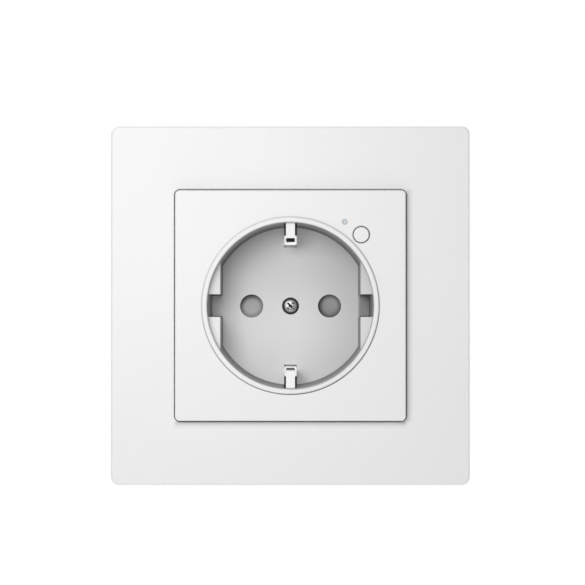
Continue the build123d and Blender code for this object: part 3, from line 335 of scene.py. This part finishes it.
def carve(piece, cutter):
    """Cut one piece with another, and discard the cutter."""
    cut = piece.modifiers.new("recess", "BOOLEAN")
    cut.object = cutter
    cut.use_self = True
    bpy.context.view_layer.update()
    cut_piece = piece.evaluated_get(bpy.context.evaluated_depsgraph_get())
    piece.data = bpy.data.meshes.new_from_object(cut_piece)
    piece.modifiers.clear()
    bpy.data.objects.remove(cutter)
    piece.data.set_sharp_from_angle(angle=SHARP_ANGLE)


def screw_shape(head, rise, dome, root, crest, pitch, length):
    """A screw along the depth axis: domed head in front of 0, threaded shank behind."""
    shape = bmesh.new()
    arc = [i / 6 * math.pi / 2 for i in range(7)]
    outline = [(head * math.sin(a), -rise + dome * (1 - math.cos(a))) for a in arc]
    outline += [(head, -0.05 * rise), (head - 0.05 * rise, 0), (root, 0)]
    outline += [(root, length - root / 2), (root / 2, length), (0, length)]
    turned(shape, outline)
    threaded(shape, root, crest, pitch, 0.0005, length - root / 2)
    return shape


WING_TAPER = 0.5
WIDTH_TAPER = 0.6


def cross_cutter(face, wing, width, sink, turn=0.0):
    """Two tapered wings that cut a cross recess into a head whose face is at a depth."""
    shape = bmesh.new()
    for quarter in (0, math.pi / 2):
        bar = bmesh.ops.create_cube(shape, size=1)["verts"]
        bmesh.ops.scale(shape, vec=(2 * wing, 2 * sink, width), verts=bar)
        for vertex in bar:
            if vertex.co.y > 0:
                vertex.co.x *= WING_TAPER
                vertex.co.z *= WIDTH_TAPER
        spin = Matrix.Rotation(turn + quarter, 3, "Y")
        bmesh.ops.rotate(shape, cent=(0, 0, 0), matrix=spin, verts=bar)
    bmesh.ops.translate(shape, vec=(0, face, 0), verts=shape.verts)
    mesh = bpy.data.meshes.new("cross_cutter")
    shape.to_mesh(mesh)
    shape.free()
    cutter = bpy.data.objects.new("cross_cutter", mesh)
    bpy.context.scene.collection.objects.link(cutter)
    return cutter


def plated(name, colour, roughness, stretch=(1, 1, 1), metallic=1.0):
    """Plated metal: streaks from rolling or drawing in its gloss, and a shallow relief."""
    metal = Finish(name, colour, roughness, Metallic=metallic)
    streak = metal.noise(900.0, 4.0, stretch)
    metal.feed("Base Color", metal.mix(streak, shade(colour, 0.86), colour))
    metal.feed("Roughness", roughness - 0.08 + streak * 0.16)
    metal.bump(streak, 0.000003)
    return metal


steel_screw = plated("screw_steel", (0.5, 0.5, 0.5), 0.4)
low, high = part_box("center_screw")
HEAD_RISE = 0.00145
head = {"head": 0.00195, "rise": HEAD_RISE, "dome": 0.0007}
thread = {"root": 0.00105, "crest": 0.00125, "pitch": 0.0005}
shape = screw_shape(**head, **thread, length=high.y - low.y - HEAD_RISE)
bmesh.ops.translate(shape, vec=(0, low.y + HEAD_RISE, 0), verts=shape.verts)
center_screw = build("center_screw_threaded", shape, steel_screw, "screw_steel", "center_screw")
cross = {"wing": 0.0014, "width": 0.00064, "sink": 0.0007, "turn": math.pi / 4}
carve(center_screw, cross_cutter(low.y + 0.00015, **cross))

brass = plated("brass_insert", (0.78, 0.6, 0.28), 0.3, (1, 6, 1))
x, depth, z = brass.axes()
KNURLS = 36
KNURLED = (14.3, 17.7)
knurl = brass.math("SINE", brass.math("ARCTAN2", z, x) * KNURLS)
brass.bump(knurl * brass.band(depth, *KNURLED), 0.00004)
dress(brass, "brass", "center_nut")

# ---------------------------------------------------------------- Earthing clips and bow
# Two sprung clips stamped and bent from nickel-plated strip reach the plug's side contacts.
# Their feet are welded to the earth bow, which lies behind the recess.

# Painted shadow: the upper clip's tongue and the lower clip's window are painted dark for the shade
# they lie in. A faint painted glow stands in for the light that the bright strip gathers from the
# room.
clip_colour = (0.97, 0.97, 0.96)
TONGUE_Z = (15.3, 16.32)
TONGUE_DEPTH = (-2.6, 1.2)
WINDOW_Z = (-15.6, -15.05)
WINDOW_DEPTH = (-2.6, 5.0)
WINDOW_DARKER = 0.85
TONGUE_EDGE = (1.0, 1.06)

nickel = plated("clip_nickel", clip_colour, 0.42, (1, 8, 8), 0.08)
x, depth, z = nickel.axes()
tongue = nickel.band(z, *TONGUE_Z, 0.03) * (1 - nickel.ramp(abs(x), *TONGUE_EDGE))
tongue = tongue * nickel.band(depth, *TONGUE_DEPTH)
window = nickel.band(z, *WINDOW_Z, 0.03) * (1 - nickel.ramp(abs(x), *TONGUE_EDGE))
shadow = tongue + window * nickel.band(depth, *WINDOW_DEPTH) * WINDOW_DARKER
nickel.feed("Base Color", nickel.dimmed(clip_colour, shadow))
# Painted light: the clips and the bow glow faintly, less where the painted shadow lies.
nickel.feed("Emission Color", nickel.dimmed((1, 1, 1), shadow))
nickel.shader.inputs["Emission Strength"].default_value = 0.25
nickel.feed("Roughness", 0.4 + shadow * 0.5)
dress(nickel, "clip_metal", "earth_clip_upper", "earth_clip_lower", "earth_bow")

# ---------------------------------------------------------------- Shutter
# A two-winged disc behind the pin holes, turned aside only when both pins push its ramps.
# It is moulded in a low-friction white plastic, with a wire spring and a clear-white cover.

PIN_X = 9.5
UNDER_HOLE_EDGE = (1.4, 2.9)
EDGE_DARKER = 0.45
RIGHT_WING = (-2.0, 2.0)
RIGHT_WING_DARKER = 0.2

# Painted shade: the white plastic is given a grey colour for the shade behind the pin holes, darker
# still towards the hole edges and over the right wing.
shutter_white_painted_shade = moulded("shutter_white_painted_shade", (0.5, 0.5, 0.495), 0.5)
x, _, z = shutter_white_painted_shade.axes()
off_axis = abs(x) - PIN_X
from_pin = shutter_white_painted_shade.math("SQRT", off_axis * off_axis + z * z)
edge_shade = shutter_white_painted_shade.ramp(from_pin, *UNDER_HOLE_EDGE) * EDGE_DARKER
wing_shade = edge_shade + shutter_white_painted_shade.ramp(x, *RIGHT_WING) * RIGHT_WING_DARKER
shutter_white_painted_shade.feed("Base Color", shutter_white_painted_shade.dimmed((0.52, 0.52, 0.515), wing_shade))
dress(shutter_white_painted_shade, "white_shutter", "shutter")
dress(moulded("shutter_cover_white", (0.7, 0.7, 0.69), 0.45), "white_shutter", "shutter_cover")
dress(plated("spring_wire", (0.6, 0.6, 0.6), 0.28), "spring_steel", "shutter_spring")

# ---------------------------------------------------------------- Bracket and its screws
# A square ring punched from 1.2 mm zinc-plated steel, which the wall box screws hold.
# Four short cross-head screws clamp the insulating base to it.

zinc = plated("zinc_sheet", (0.62, 0.65, 0.68), 0.36, (10, 1, 1))
dress(zinc, "zinc_steel", "mounting_bracket")

low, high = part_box("bracket_screws")
BRACKET_HEAD = 0.0021
BRACKET_RISE = 0.0013
head = {"head": BRACKET_HEAD, "rise": BRACKET_RISE, "dome": 0.0004}
thread = {"root": 0.00095, "crest": 0.0012, "pitch": 0.00045}
cross = {"wing": 0.0012, "width": 0.0005, "sink": 0.0008}
bracket_length = high.y - low.y - BRACKET_RISE
for number, (side_x, side_z) in enumerate(((-1, -1), (-1, 1), (1, -1), (1, 1)), 1):
    x = (high.x - BRACKET_HEAD) * side_x
    z = (high.z - BRACKET_HEAD) * side_z
    shape = screw_shape(**head, **thread, length=bracket_length)
    screw = build(f"bracket_screw_{number}", shape, steel_screw, "screw_steel", "bracket_screws")
    carve(screw, cross_cutter(-BRACKET_RISE, **cross))
    screw.data.transform(Matrix.Translation((x, low.y + BRACKET_RISE, z)))

# ---------------------------------------------------------------- Insulating base and housing
# The base carries contacts and electronics inside the wall box; the housing closes it at the
# back. Both are moulded in grey glass-filled nylon, which leaves a dry, fibrous surface.

SHELL_SPLIT = 15.0
SPLIT_HALF = 0.08
SPLIT_DARKER = 0.75

nylon = moulded("grey_nylon", (0.2, 0.21, 0.22), 0.55, 0.00001)
fibre = nylon.noise(1400.0, 4.0, (6, 1, 1))
_, depth, _ = nylon.axes()
parting = nylon.band(depth, SHELL_SPLIT - SPLIT_HALF, SHELL_SPLIT + SPLIT_HALF, 0.04)
grey = nylon.mix(fibre, (0.17, 0.18, 0.19), (0.24, 0.25, 0.26))
nylon.feed("Base Color", nylon.dimmed(grey, parting * SPLIT_DARKER))
dress(nylon, "grey_base", "socket_base", "rear_housing")

low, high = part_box("housing_screws")
HOUSING_HEAD = 0.0016
HOUSING_RISE = 0.0014
head = {"head": HOUSING_HEAD, "rise": HOUSING_RISE, "dome": 0.0005}
thread = {"root": 0.00072, "crest": 0.00093, "pitch": 0.0006}
cross = {"wing": 0.001, "width": 0.00045, "sink": 0.0008}
housing_length = high.y - low.y - HOUSING_RISE
for number, (x, z) in enumerate(((low.x, high.z), (high.x, low.z)), 1):
    x -= math.copysign(HOUSING_HEAD, x)
    z -= math.copysign(HOUSING_HEAD, z)
    shape = screw_shape(**head, **thread, length=housing_length)
    screw = build(f"housing_screw_{number}", shape, steel_screw, "screw_steel", "housing_screws")
    carve(screw, cross_cutter(-HOUSING_RISE, **cross))
    turn_round = Matrix.Rotation(math.pi, 4, "Z")
    screw.data.transform(Matrix.Translation((x, high.y - HOUSING_RISE, z)) @ turn_round)

# ---------------------------------------------------------------- Pin contacts and busbar
# Forked leaves that grip the plug's pins, stamped and bent from bright contact bronze, and
# the strip that brings the line terminal to the main board.

bronze = plated("contact_bronze", (0.82, 0.6, 0.36), 0.32, (1, 1, 8))
dress(bronze, "contact_metal", "line_contact", "neutral_contact", "line_busbar")

# ---------------------------------------------------------------- Terminals
# Rising clamps: a zinc-plated steel cage that a captive screw draws against the tongue,
# with the wire between. The cages are folded and the screws have rolled threads.

cage_zinc = plated("cage_zinc", (0.64, 0.66, 0.67), 0.34, (1, 8, 1))
CLAMP_HEAD = 0.002
CLAMP_RISE = 0.0011
head = {"head": CLAMP_HEAD, "rise": CLAMP_RISE, "dome": 0.0003}
thread = {"root": 0.0012, "crest": 0.0015, "pitch": 0.0007}
cross = {"wing": 0.0014, "width": 0.0006, "sink": 0.0008}
for way in ("line", "neutral", "earth"):
    dress(cage_zinc, "zinc_steel", f"terminal_cage_{way}")
    low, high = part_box(f"terminal_screw_{way}")
    clamp_length = high.z - low.z - CLAMP_RISE
    shape = screw_shape(**head, **thread, length=clamp_length)
    screw = build(f"clamp_screw_{way}", shape, steel_screw, "screw_steel", f"terminal_screw_{way}")
    carve(screw, cross_cutter(-CLAMP_RISE, **cross))
    middle = ((low.x + high.x) / 2, (low.y + high.y) / 2, low.z + CLAMP_RISE)
    screw.data.transform(Matrix.Translation(middle) @ Matrix.Rotation(math.pi / 2, 4, "X"))

# ---------------------------------------------------------------- Circuit boards
# Glass laminate under green solder mask: copper tracks show as paler lines beneath it.
# The main board lies at the back, the control board behind the button and lamp.


def laminate(name, front, back):
    """Solder mask with tracks under it; the sawn edge shows the bare laminate."""
    board = Finish(name, (0.02, 0.2, 0.08), 0.32)
    _, depth, _ = board.axes()
    cells = {"Vector": board.place, "Scale": 420.0}
    gap = board.node("ShaderNodeTexVoronoi", {"feature": "DISTANCE_TO_EDGE"}, cells)
    track = 1 - board.ramp(gap, 0.03, 0.08)
    mask = board.mix(track, (0.015, 0.16, 0.06), (0.05, 0.33, 0.13))
    flat = board.band(depth, front + 0.06, back - 0.06)
    board.feed("Base Color", board.mix(flat, mask, (0.55, 0.55, 0.32)))
    board.feed("Roughness", 0.3 + flat * 0.3)
    board.bump(track, 0.00002)
    return board


MAIN_BOARD = (28.0, 29.6)
CONTROL_BOARD = (3.0, 4.0)
dress(laminate("main_board_mask", *MAIN_BOARD), "board_green", "main_board")
dress(laminate("control_board_mask", *CONTROL_BOARD), "board_green", "control_board")

solder = plated("solder", (0.72, 0.73, 0.74), 0.25)
_, board_back = (corner.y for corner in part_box("main_board"))
JOINT_RADIUS = 0.0008
JOINT_HEIGHT = 0.0006
shape = bmesh.new()
joint = [(JOINT_RADIUS, board_back), (0.0006, board_back + 0.00015), (0.0004, board_back + 0.0004)]
joint += [(0.0002, board_back + JOINT_HEIGHT), (0, board_back + JOINT_HEIGHT)]
fuse_low, fuse_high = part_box("fuse_resistor")
cap_low, cap_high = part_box("bulk_capacitor")
film_low, film_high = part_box("film_capacitor")
relay_low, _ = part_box("relay_base")
CAN_LEAD = 0.00175
FILM_LEAD = 0.004
COIL_PIN_INSET = 0.0015
COIL_PINS = (0.002, 0.010)
places = [((fuse_low.x + fuse_high.x) / 2, (fuse_low.z + fuse_high.z) / 2)]
places += [((cap_low.x + cap_high.x) / 2, side * CAN_LEAD) for side in (-1, 1)]
places += [((film_low.x + film_high.x) / 2, side * FILM_LEAD) for side in (-1, 1)]
places += [(relay_low.x + COIL_PIN_INSET, relay_low.z + along) for along in COIL_PINS]
for x, z in places:
    turned(shape, joint, x, z, steps=16)
build("solder_joints", shape, solder, "shield_tin", body="outlet")

# ---------------------------------------------------------------- Board header, switch and lamp
# Four square pins in a moulded strip join the two boards. A sealed push switch with a dome
# spring and a chip lamp are soldered to the control board.

black = moulded("black_moulding", (0.025, 0.025, 0.027), 0.45, 0.000008)
dress(black, "black_plastic", "tact_switch", "tact_stem")

header = Finish("header_plastic", (0.02, 0.02, 0.02), 0.5)
_, depth, _ = header.axes()
HEADER_STRIP = (26.0, 28.0)
pin = 1 - header.band(depth, *HEADER_STRIP)
header.feed("Base Color", header.mix(pin, (0.02, 0.02, 0.02), (0.85, 0.65, 0.3)))
header.feed("Metallic", pin)
header.bump(header.noise(2000.0), 0.000006)
dress(header, "black_plastic", "board_header")

lamp = Finish("chip_lamp", (0.85, 0.82, 0.6), 0.3)
_, depth, _ = lamp.axes()
LENS_BACK = (2.5, 2.7)
lens = 1 - lamp.ramp(depth, *LENS_BACK)
lamp.feed("Base Color", lamp.mix(lens, (0.85, 0.85, 0.83), (0.85, 0.75, 0.25)))
dress(lamp, "lamp_white", "status_led")

# ---------------------------------------------------------------- Relay
# The switching relay: a wound coil on an iron core pulls the armature, whose spring blade
# carries a silver contact. Base and case are moulded in dark blue-grey plastic.

relay_plastic = moulded("relay_plastic", (0.07, 0.09, 0.13), 0.35)
dress(relay_plastic, "relay_plastic", "relay_base", "relay_case")

iron = plated("soft_iron", (0.4, 0.4, 0.41), 0.42, (6, 1, 1))
dress(iron, "core_iron", "relay_core", "relay_yoke", "relay_armature")

blade = plated("relay_blade_bronze", (0.8, 0.55, 0.35), 0.3, (1, 6, 1))
dress(blade, "contact_metal", "relay_blade", "relay_fixed_contact")

low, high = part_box("relay_coil")
coil_x = (low.x + high.x) / 2
coil_z = (low.z + high.z) / 2
FLANGE = 0.0005
WIRE = 0.0002
BORE = 0.00125
flange_radius = (high.x - low.x) / 2
wound_radius = flange_radius - 0.0003
turns = int((high.y - low.y - 2 * FLANGE) / WIRE)
outline = [(BORE, low.y), (flange_radius, low.y), (flange_radius, low.y + FLANGE)]
for turn in range(turns):
    start = low.y + FLANGE + turn * WIRE
    outline += [(wound_radius - WIRE / 3, start), (wound_radius, start + WIRE / 2)]
outline += [(flange_radius, high.y - FLANGE), (flange_radius, high.y)]
outline += [(BORE, high.y), (BORE, low.y)]
shape = bmesh.new()
turned(shape, outline, coil_x, coil_z)
enamel = Finish("enamelled_copper", (0.62, 0.24, 0.1), 0.28, Coat_Roughness=0.1)
_, depth, _ = enamel.axes()
wound = enamel.band(depth, 1000 * (low.y + FLANGE), 1000 * (high.y - FLANGE))
strand = enamel.noise(2500.0, 2.0, (4, 1, 4))
copper = enamel.mix(strand, (0.5, 0.17, 0.07), (0.72, 0.3, 0.13))
enamel.feed("Base Color", enamel.mix(wound, (0.05, 0.05, 0.05), copper))
enamel.feed("Metallic", wound * 0.8)
build("relay_coil_wound", shape, enamel, "copper_winding", "relay_coil")

# ---------------------------------------------------------------- Supply transformer
# A sintered ferrite core closes round a bobbin whose winding is wrapped in yellow
# polyester tape; its pins are soldered to the main board.

ferrite = Finish("sintered_ferrite", (0.06, 0.06, 0.065), 0.5)
speck = ferrite.noise(3000.0, 6.0)
ferrite.feed("Base Color", ferrite.mix(speck, (0.04, 0.04, 0.045), (0.1, 0.1, 0.105)))
ferrite.feed("Roughness", 0.4 + speck * 0.25)
ferrite.bump(speck, 0.00001)
dress(ferrite, "ferrite", "transformer_core")

tape = Finish("winding_tape", (0.8, 0.55, 0.06), 0.3)
_, depth, _ = tape.axes()
BOBBIN_START = (26.0, 26.2)
bobbin = tape.ramp(depth, *BOBBIN_START)
crinkle = tape.noise(700.0, 3.0, (1, 1, 8))
yellow = tape.mix(crinkle, (0.7, 0.45, 0.04), (0.85, 0.62, 0.1))
tape.feed("Base Color", tape.mix(bobbin, yellow, (0.03, 0.03, 0.03)))
tape.feed("Roughness", 0.22 + crinkle * 0.15 + bobbin * 0.2)
tape.bump(crinkle, 0.00003)
dress(tape, "tape_yellow", "transformer_winding")

# ---------------------------------------------------------------- Capacitors
# The bulk capacitor is a drawn aluminium can in a shrink sleeve, rolled in at its base and
# scored on top; the film capacitor is potted in a square plastic box.

low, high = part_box("bulk_capacitor")
can = (high.x - low.x) / 2
SLEEVE_TURN = 0.0005
outline = [(0, low.y + 0.0001), (can - 0.0009, low.y + 0.0001), (can - 0.0008, low.y)]
outline += [(can - SLEEVE_TURN, low.y), (can - 0.0001, low.y + 0.00025), (can, low.y + SLEEVE_TURN)]
outline += [(can, high.y - 0.0022), (can - 0.0003, high.y - 0.0018), (can, high.y - 0.0014)]
outline += [(can, high.y - 0.0003), (can - 0.0003, high.y), (0, high.y)]
shape = bmesh.new()
turned(shape, outline, (low.x + high.x) / 2, (low.z + high.z) / 2)
sleeve = Finish("capacitor_sleeve", (0.03, 0.035, 0.06), 0.3)
x, _, z = sleeve.axes()
SCORE_EDGE = (0.06, 0.12)
STRIPE_HALF = 1.2
off_x = x - 500 * (low.x + high.x)
from_axis = sleeve.math("SQRT", off_x * off_x + z * z)
top = 1 - sleeve.ramp(from_axis, 1000 * can - 0.95, 1000 * can - 0.85)
score = (1 - sleeve.ramp(abs(off_x), *SCORE_EDGE)) + (1 - sleeve.ramp(abs(z), *SCORE_EDGE))
stripe = sleeve.band(z, -STRIPE_HALF, STRIPE_HALF) * (1 - sleeve.ramp(off_x, -0.2, 0.2))
skin = sleeve.mix(stripe, (0.03, 0.035, 0.06), (0.6, 0.6, 0.62))
sleeve.feed("Base Color", sleeve.mix(top, skin, (0.8, 0.8, 0.8)))
sleeve.feed("Metallic", top)
sleeve.bump(1 - score * top, 0.0001)
build("bulk_capacitor_can", shape, sleeve, "capacitor_sleeve", "bulk_capacitor")

film = moulded("film_capacitor_box", (0.78, 0.5, 0.06), 0.35)
dress(film, "film_yellow", "film_capacitor")

# ---------------------------------------------------------------- Varistor and fuse resistor
# The varistor is a zinc-oxide disc dipped in blue epoxy, the fuse resistor a wire-wound
# rod under ribbed cement with colour rings. Both stand on tinned leads.

dipped = Finish("blue_epoxy", (0.03, 0.12, 0.4), 0.28, Coat_Weight=0.3)
_, depth, _ = dipped.axes()
LEAD_START = (27.4, 27.6)
lead = dipped.ramp(depth, *LEAD_START)
drip = dipped.noise(500.0, 3.0)
epoxy = dipped.mix(drip, (0.02, 0.09, 0.34), (0.05, 0.17, 0.5))
dipped.feed("Base Color", dipped.mix(lead, epoxy, (0.75, 0.75, 0.76)))
dipped.feed("Metallic", lead)
dipped.bump(drip, 0.00008)
dress(dipped, "varistor_blue", "varistor")

cement = Finish("fuse_cement", (0.2, 0.34, 0.22), 0.7)
_, depth, _ = cement.axes()
RING_WIDTH = 0.5
FUSE_LEAD_START = (26.8, 26.95)
rings = cement.band(depth, 21.6, 21.6 + RING_WIDTH)
for start in (23.0, 24.4):
    rings = rings + cement.band(depth, start, start + RING_WIDTH)
chalk = cement.noise(1800.0, 5.0)
body = cement.mix(chalk, (0.16, 0.3, 0.18), (0.26, 0.42, 0.28))
lead = cement.ramp(depth, *FUSE_LEAD_START)
ringed = cement.mix(rings, body, (0.35, 0.08, 0.03))
cement.feed("Base Color", cement.mix(lead, ringed, (0.75, 0.75, 0.76)))
cement.feed("Metallic", lead)
cement.bump(chalk, 0.00002)
dress(cement, "resistor_body", "fuse_resistor")

# ---------------------------------------------------------------- Radio module
# A small upright board with a tin-plated shield can over its chip and a bare meandered
# aerial at its far end; it is soldered into a slot in the main board.

NO_EDGE = 90.0
dress(laminate("radio_board_mask", -NO_EDGE, NO_EDGE), "board_green", "radio_board")
dress(plated("shield_tin", (0.75, 0.76, 0.76), 0.3, (1, 6, 1)), "shield_tin", "radio_shield")

# ---------------------------------------------------------------- Shunt and chips
# Parts soldered flat on the back of the main board: a current shunt with copper ends, the
# metering and converter chips with tinned leads, and two rows of ceramic chip parts.

shunt = plated("shunt_alloy", (0.6, 0.58, 0.55), 0.35, (6, 1, 1))
low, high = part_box("shunt_resistor")
x, _, _ = shunt.axes()
END_LENGTH = 1.0
ends = 1 - shunt.band(x, 1000 * low.x + END_LENGTH, 1000 * high.x - END_LENGTH)
shunt.feed("Base Color", shunt.mix(ends, (0.45, 0.44, 0.43), (0.8, 0.42, 0.25)))
dress(shunt, "zinc_steel", "shunt_resistor")


def packaged(name, node):
    """Black moulded package with a dimple in one corner, and tinned leads at two sides."""
    package = Finish(name, (0.02, 0.02, 0.022), 0.55)
    low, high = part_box(node)
    x, _, z = package.axes()
    lead = 1 - package.band(x, 1000 * low.x + 0.75, 1000 * high.x - 0.75, 0.03)
    off_x = x - (1000 * low.x + 1.5)
    off_z = z - (1000 * high.z - 0.8)
    dimple = 1 - package.ramp(package.math("SQRT", off_x * off_x + off_z * off_z), 0.3, 0.4)
    package.feed("Base Color", package.mix(lead, (0.02, 0.02, 0.022), (0.7, 0.71, 0.72)))
    package.feed("Metallic", lead)
    package.feed("Roughness", 0.6 - lead * 0.3)
    package.bump(package.noise(3000.0) * 0.1 - dimple, 0.0001)
    return package


dress(packaged("metering_package", "metering_chip"), "black_plastic", "metering_chip")
dress(packaged("converter_package", "converter_chip"), "black_plastic", "converter_chip")

ceramic = Finish("chip_ceramic", (0.1, 0.08, 0.07), 0.4)
low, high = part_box("chip_parts")
x, _, _ = ceramic.axes()
COLUMN_PITCH = 3.2
across = ceramic.math("PINGPONG", x - 1000 * low.x - 0.8, COLUMN_PITCH / 2)
cap = ceramic.ramp(across, 0.45, 0.5)
ceramic.feed("Base Color", ceramic.mix(cap, (0.12, 0.09, 0.07), (0.72, 0.73, 0.74)))
ceramic.feed("Metallic", cap)
ceramic.bump(ceramic.noise(2500.0), 0.00001)
dress(ceramic, "ferrite", "chip_parts")

# ---------------------------------------------------------------- Stand, light and camera
# A pale floor below, a soft key light from the upper left in front, soft lights behind and
# above that only reach the back and the floor, and an even white room.

FLOOR_DROP = 0.107
FLOOR_SIZE = 2.0
ROOM_LIGHT = 0.43
bpy.ops.mesh.primitive_plane_add(size=FLOOR_SIZE, location=(0, 0, cad_box[0].z - FLOOR_DROP))
floor = bpy.context.object
floor.name = "floor"
paper = Finish("pale_floor", (0.85, 0.85, 0.85), 0.8)
paper.feed("Roughness", 0.75 + paper.noise(30.0) * 0.1)
floor.data.materials.append(paper.material)

world = bpy.data.worlds.new("studio")
bpy.context.scene.world = world
world.use_nodes = True
sky = world.node_tree
backdrop = sky.nodes["Background"]
backdrop.inputs["Color"].default_value = (1, 1, 1, 1)
room = sky.nodes.new("ShaderNodeBackground")
room.inputs["Color"].default_value = (1, 1, 1, 1)
room.inputs["Strength"].default_value = ROOM_LIGHT
ray = sky.nodes.new("ShaderNodeLightPath")
choose = sky.nodes.new("ShaderNodeMixShader")
sky.links.new(ray.outputs["Is Camera Ray"], choose.inputs["Fac"])
sky.links.new(room.outputs["Background"], choose.inputs[1])
sky.links.new(backdrop.outputs["Background"], choose.inputs[2])
sky.links.new(choose.outputs["Shader"], sky.nodes["World Output"].inputs["Surface"])


def soft_light(name, place, aim, size, power):
    light = bpy.data.lights.new(name, "AREA")
    light.size = size
    light.energy = power
    holder = bpy.data.objects.new(name, light)
    bpy.context.scene.collection.objects.link(holder)
    holder.location = place
    holder.rotation_euler = (Vector(aim) - Vector(place)).to_track_quat("-Z", "Y").to_euler()


soft_light("key", (-0.065, -0.27, 0.065), (0, 0, 0), size=0.14, power=0.405)
soft_light("back_left", (-0.3, 0.35, 0.25), (0, 0.02, 0), size=0.3, power=1.0)
soft_light("back_right", (0.35, 0.3, 0.05), (0, 0.02, 0), size=0.3, power=0.8)
soft_light("overhead", (0, 0.3, 0.7), (0, 0.1, -0.1), size=0.6, power=2.5)

camera = bpy.data.cameras.new("camera")
camera.sensor_width = 36
camera.lens = 206
camera.shift_x = 0.0036
camera.shift_y = 0.0222
eye = bpy.data.objects.new("camera", camera)
bpy.context.scene.collection.objects.link(eye)
eye.location = (0.002, -0.81, -0.006)
eye.rotation_euler = (Vector((0, -0.01, 0)) - eye.location).to_track_quat("-Z", "Y").to_euler()
bpy.context.scene.camera = eye
bpy.context.scene.view_settings.view_transform = "Standard"
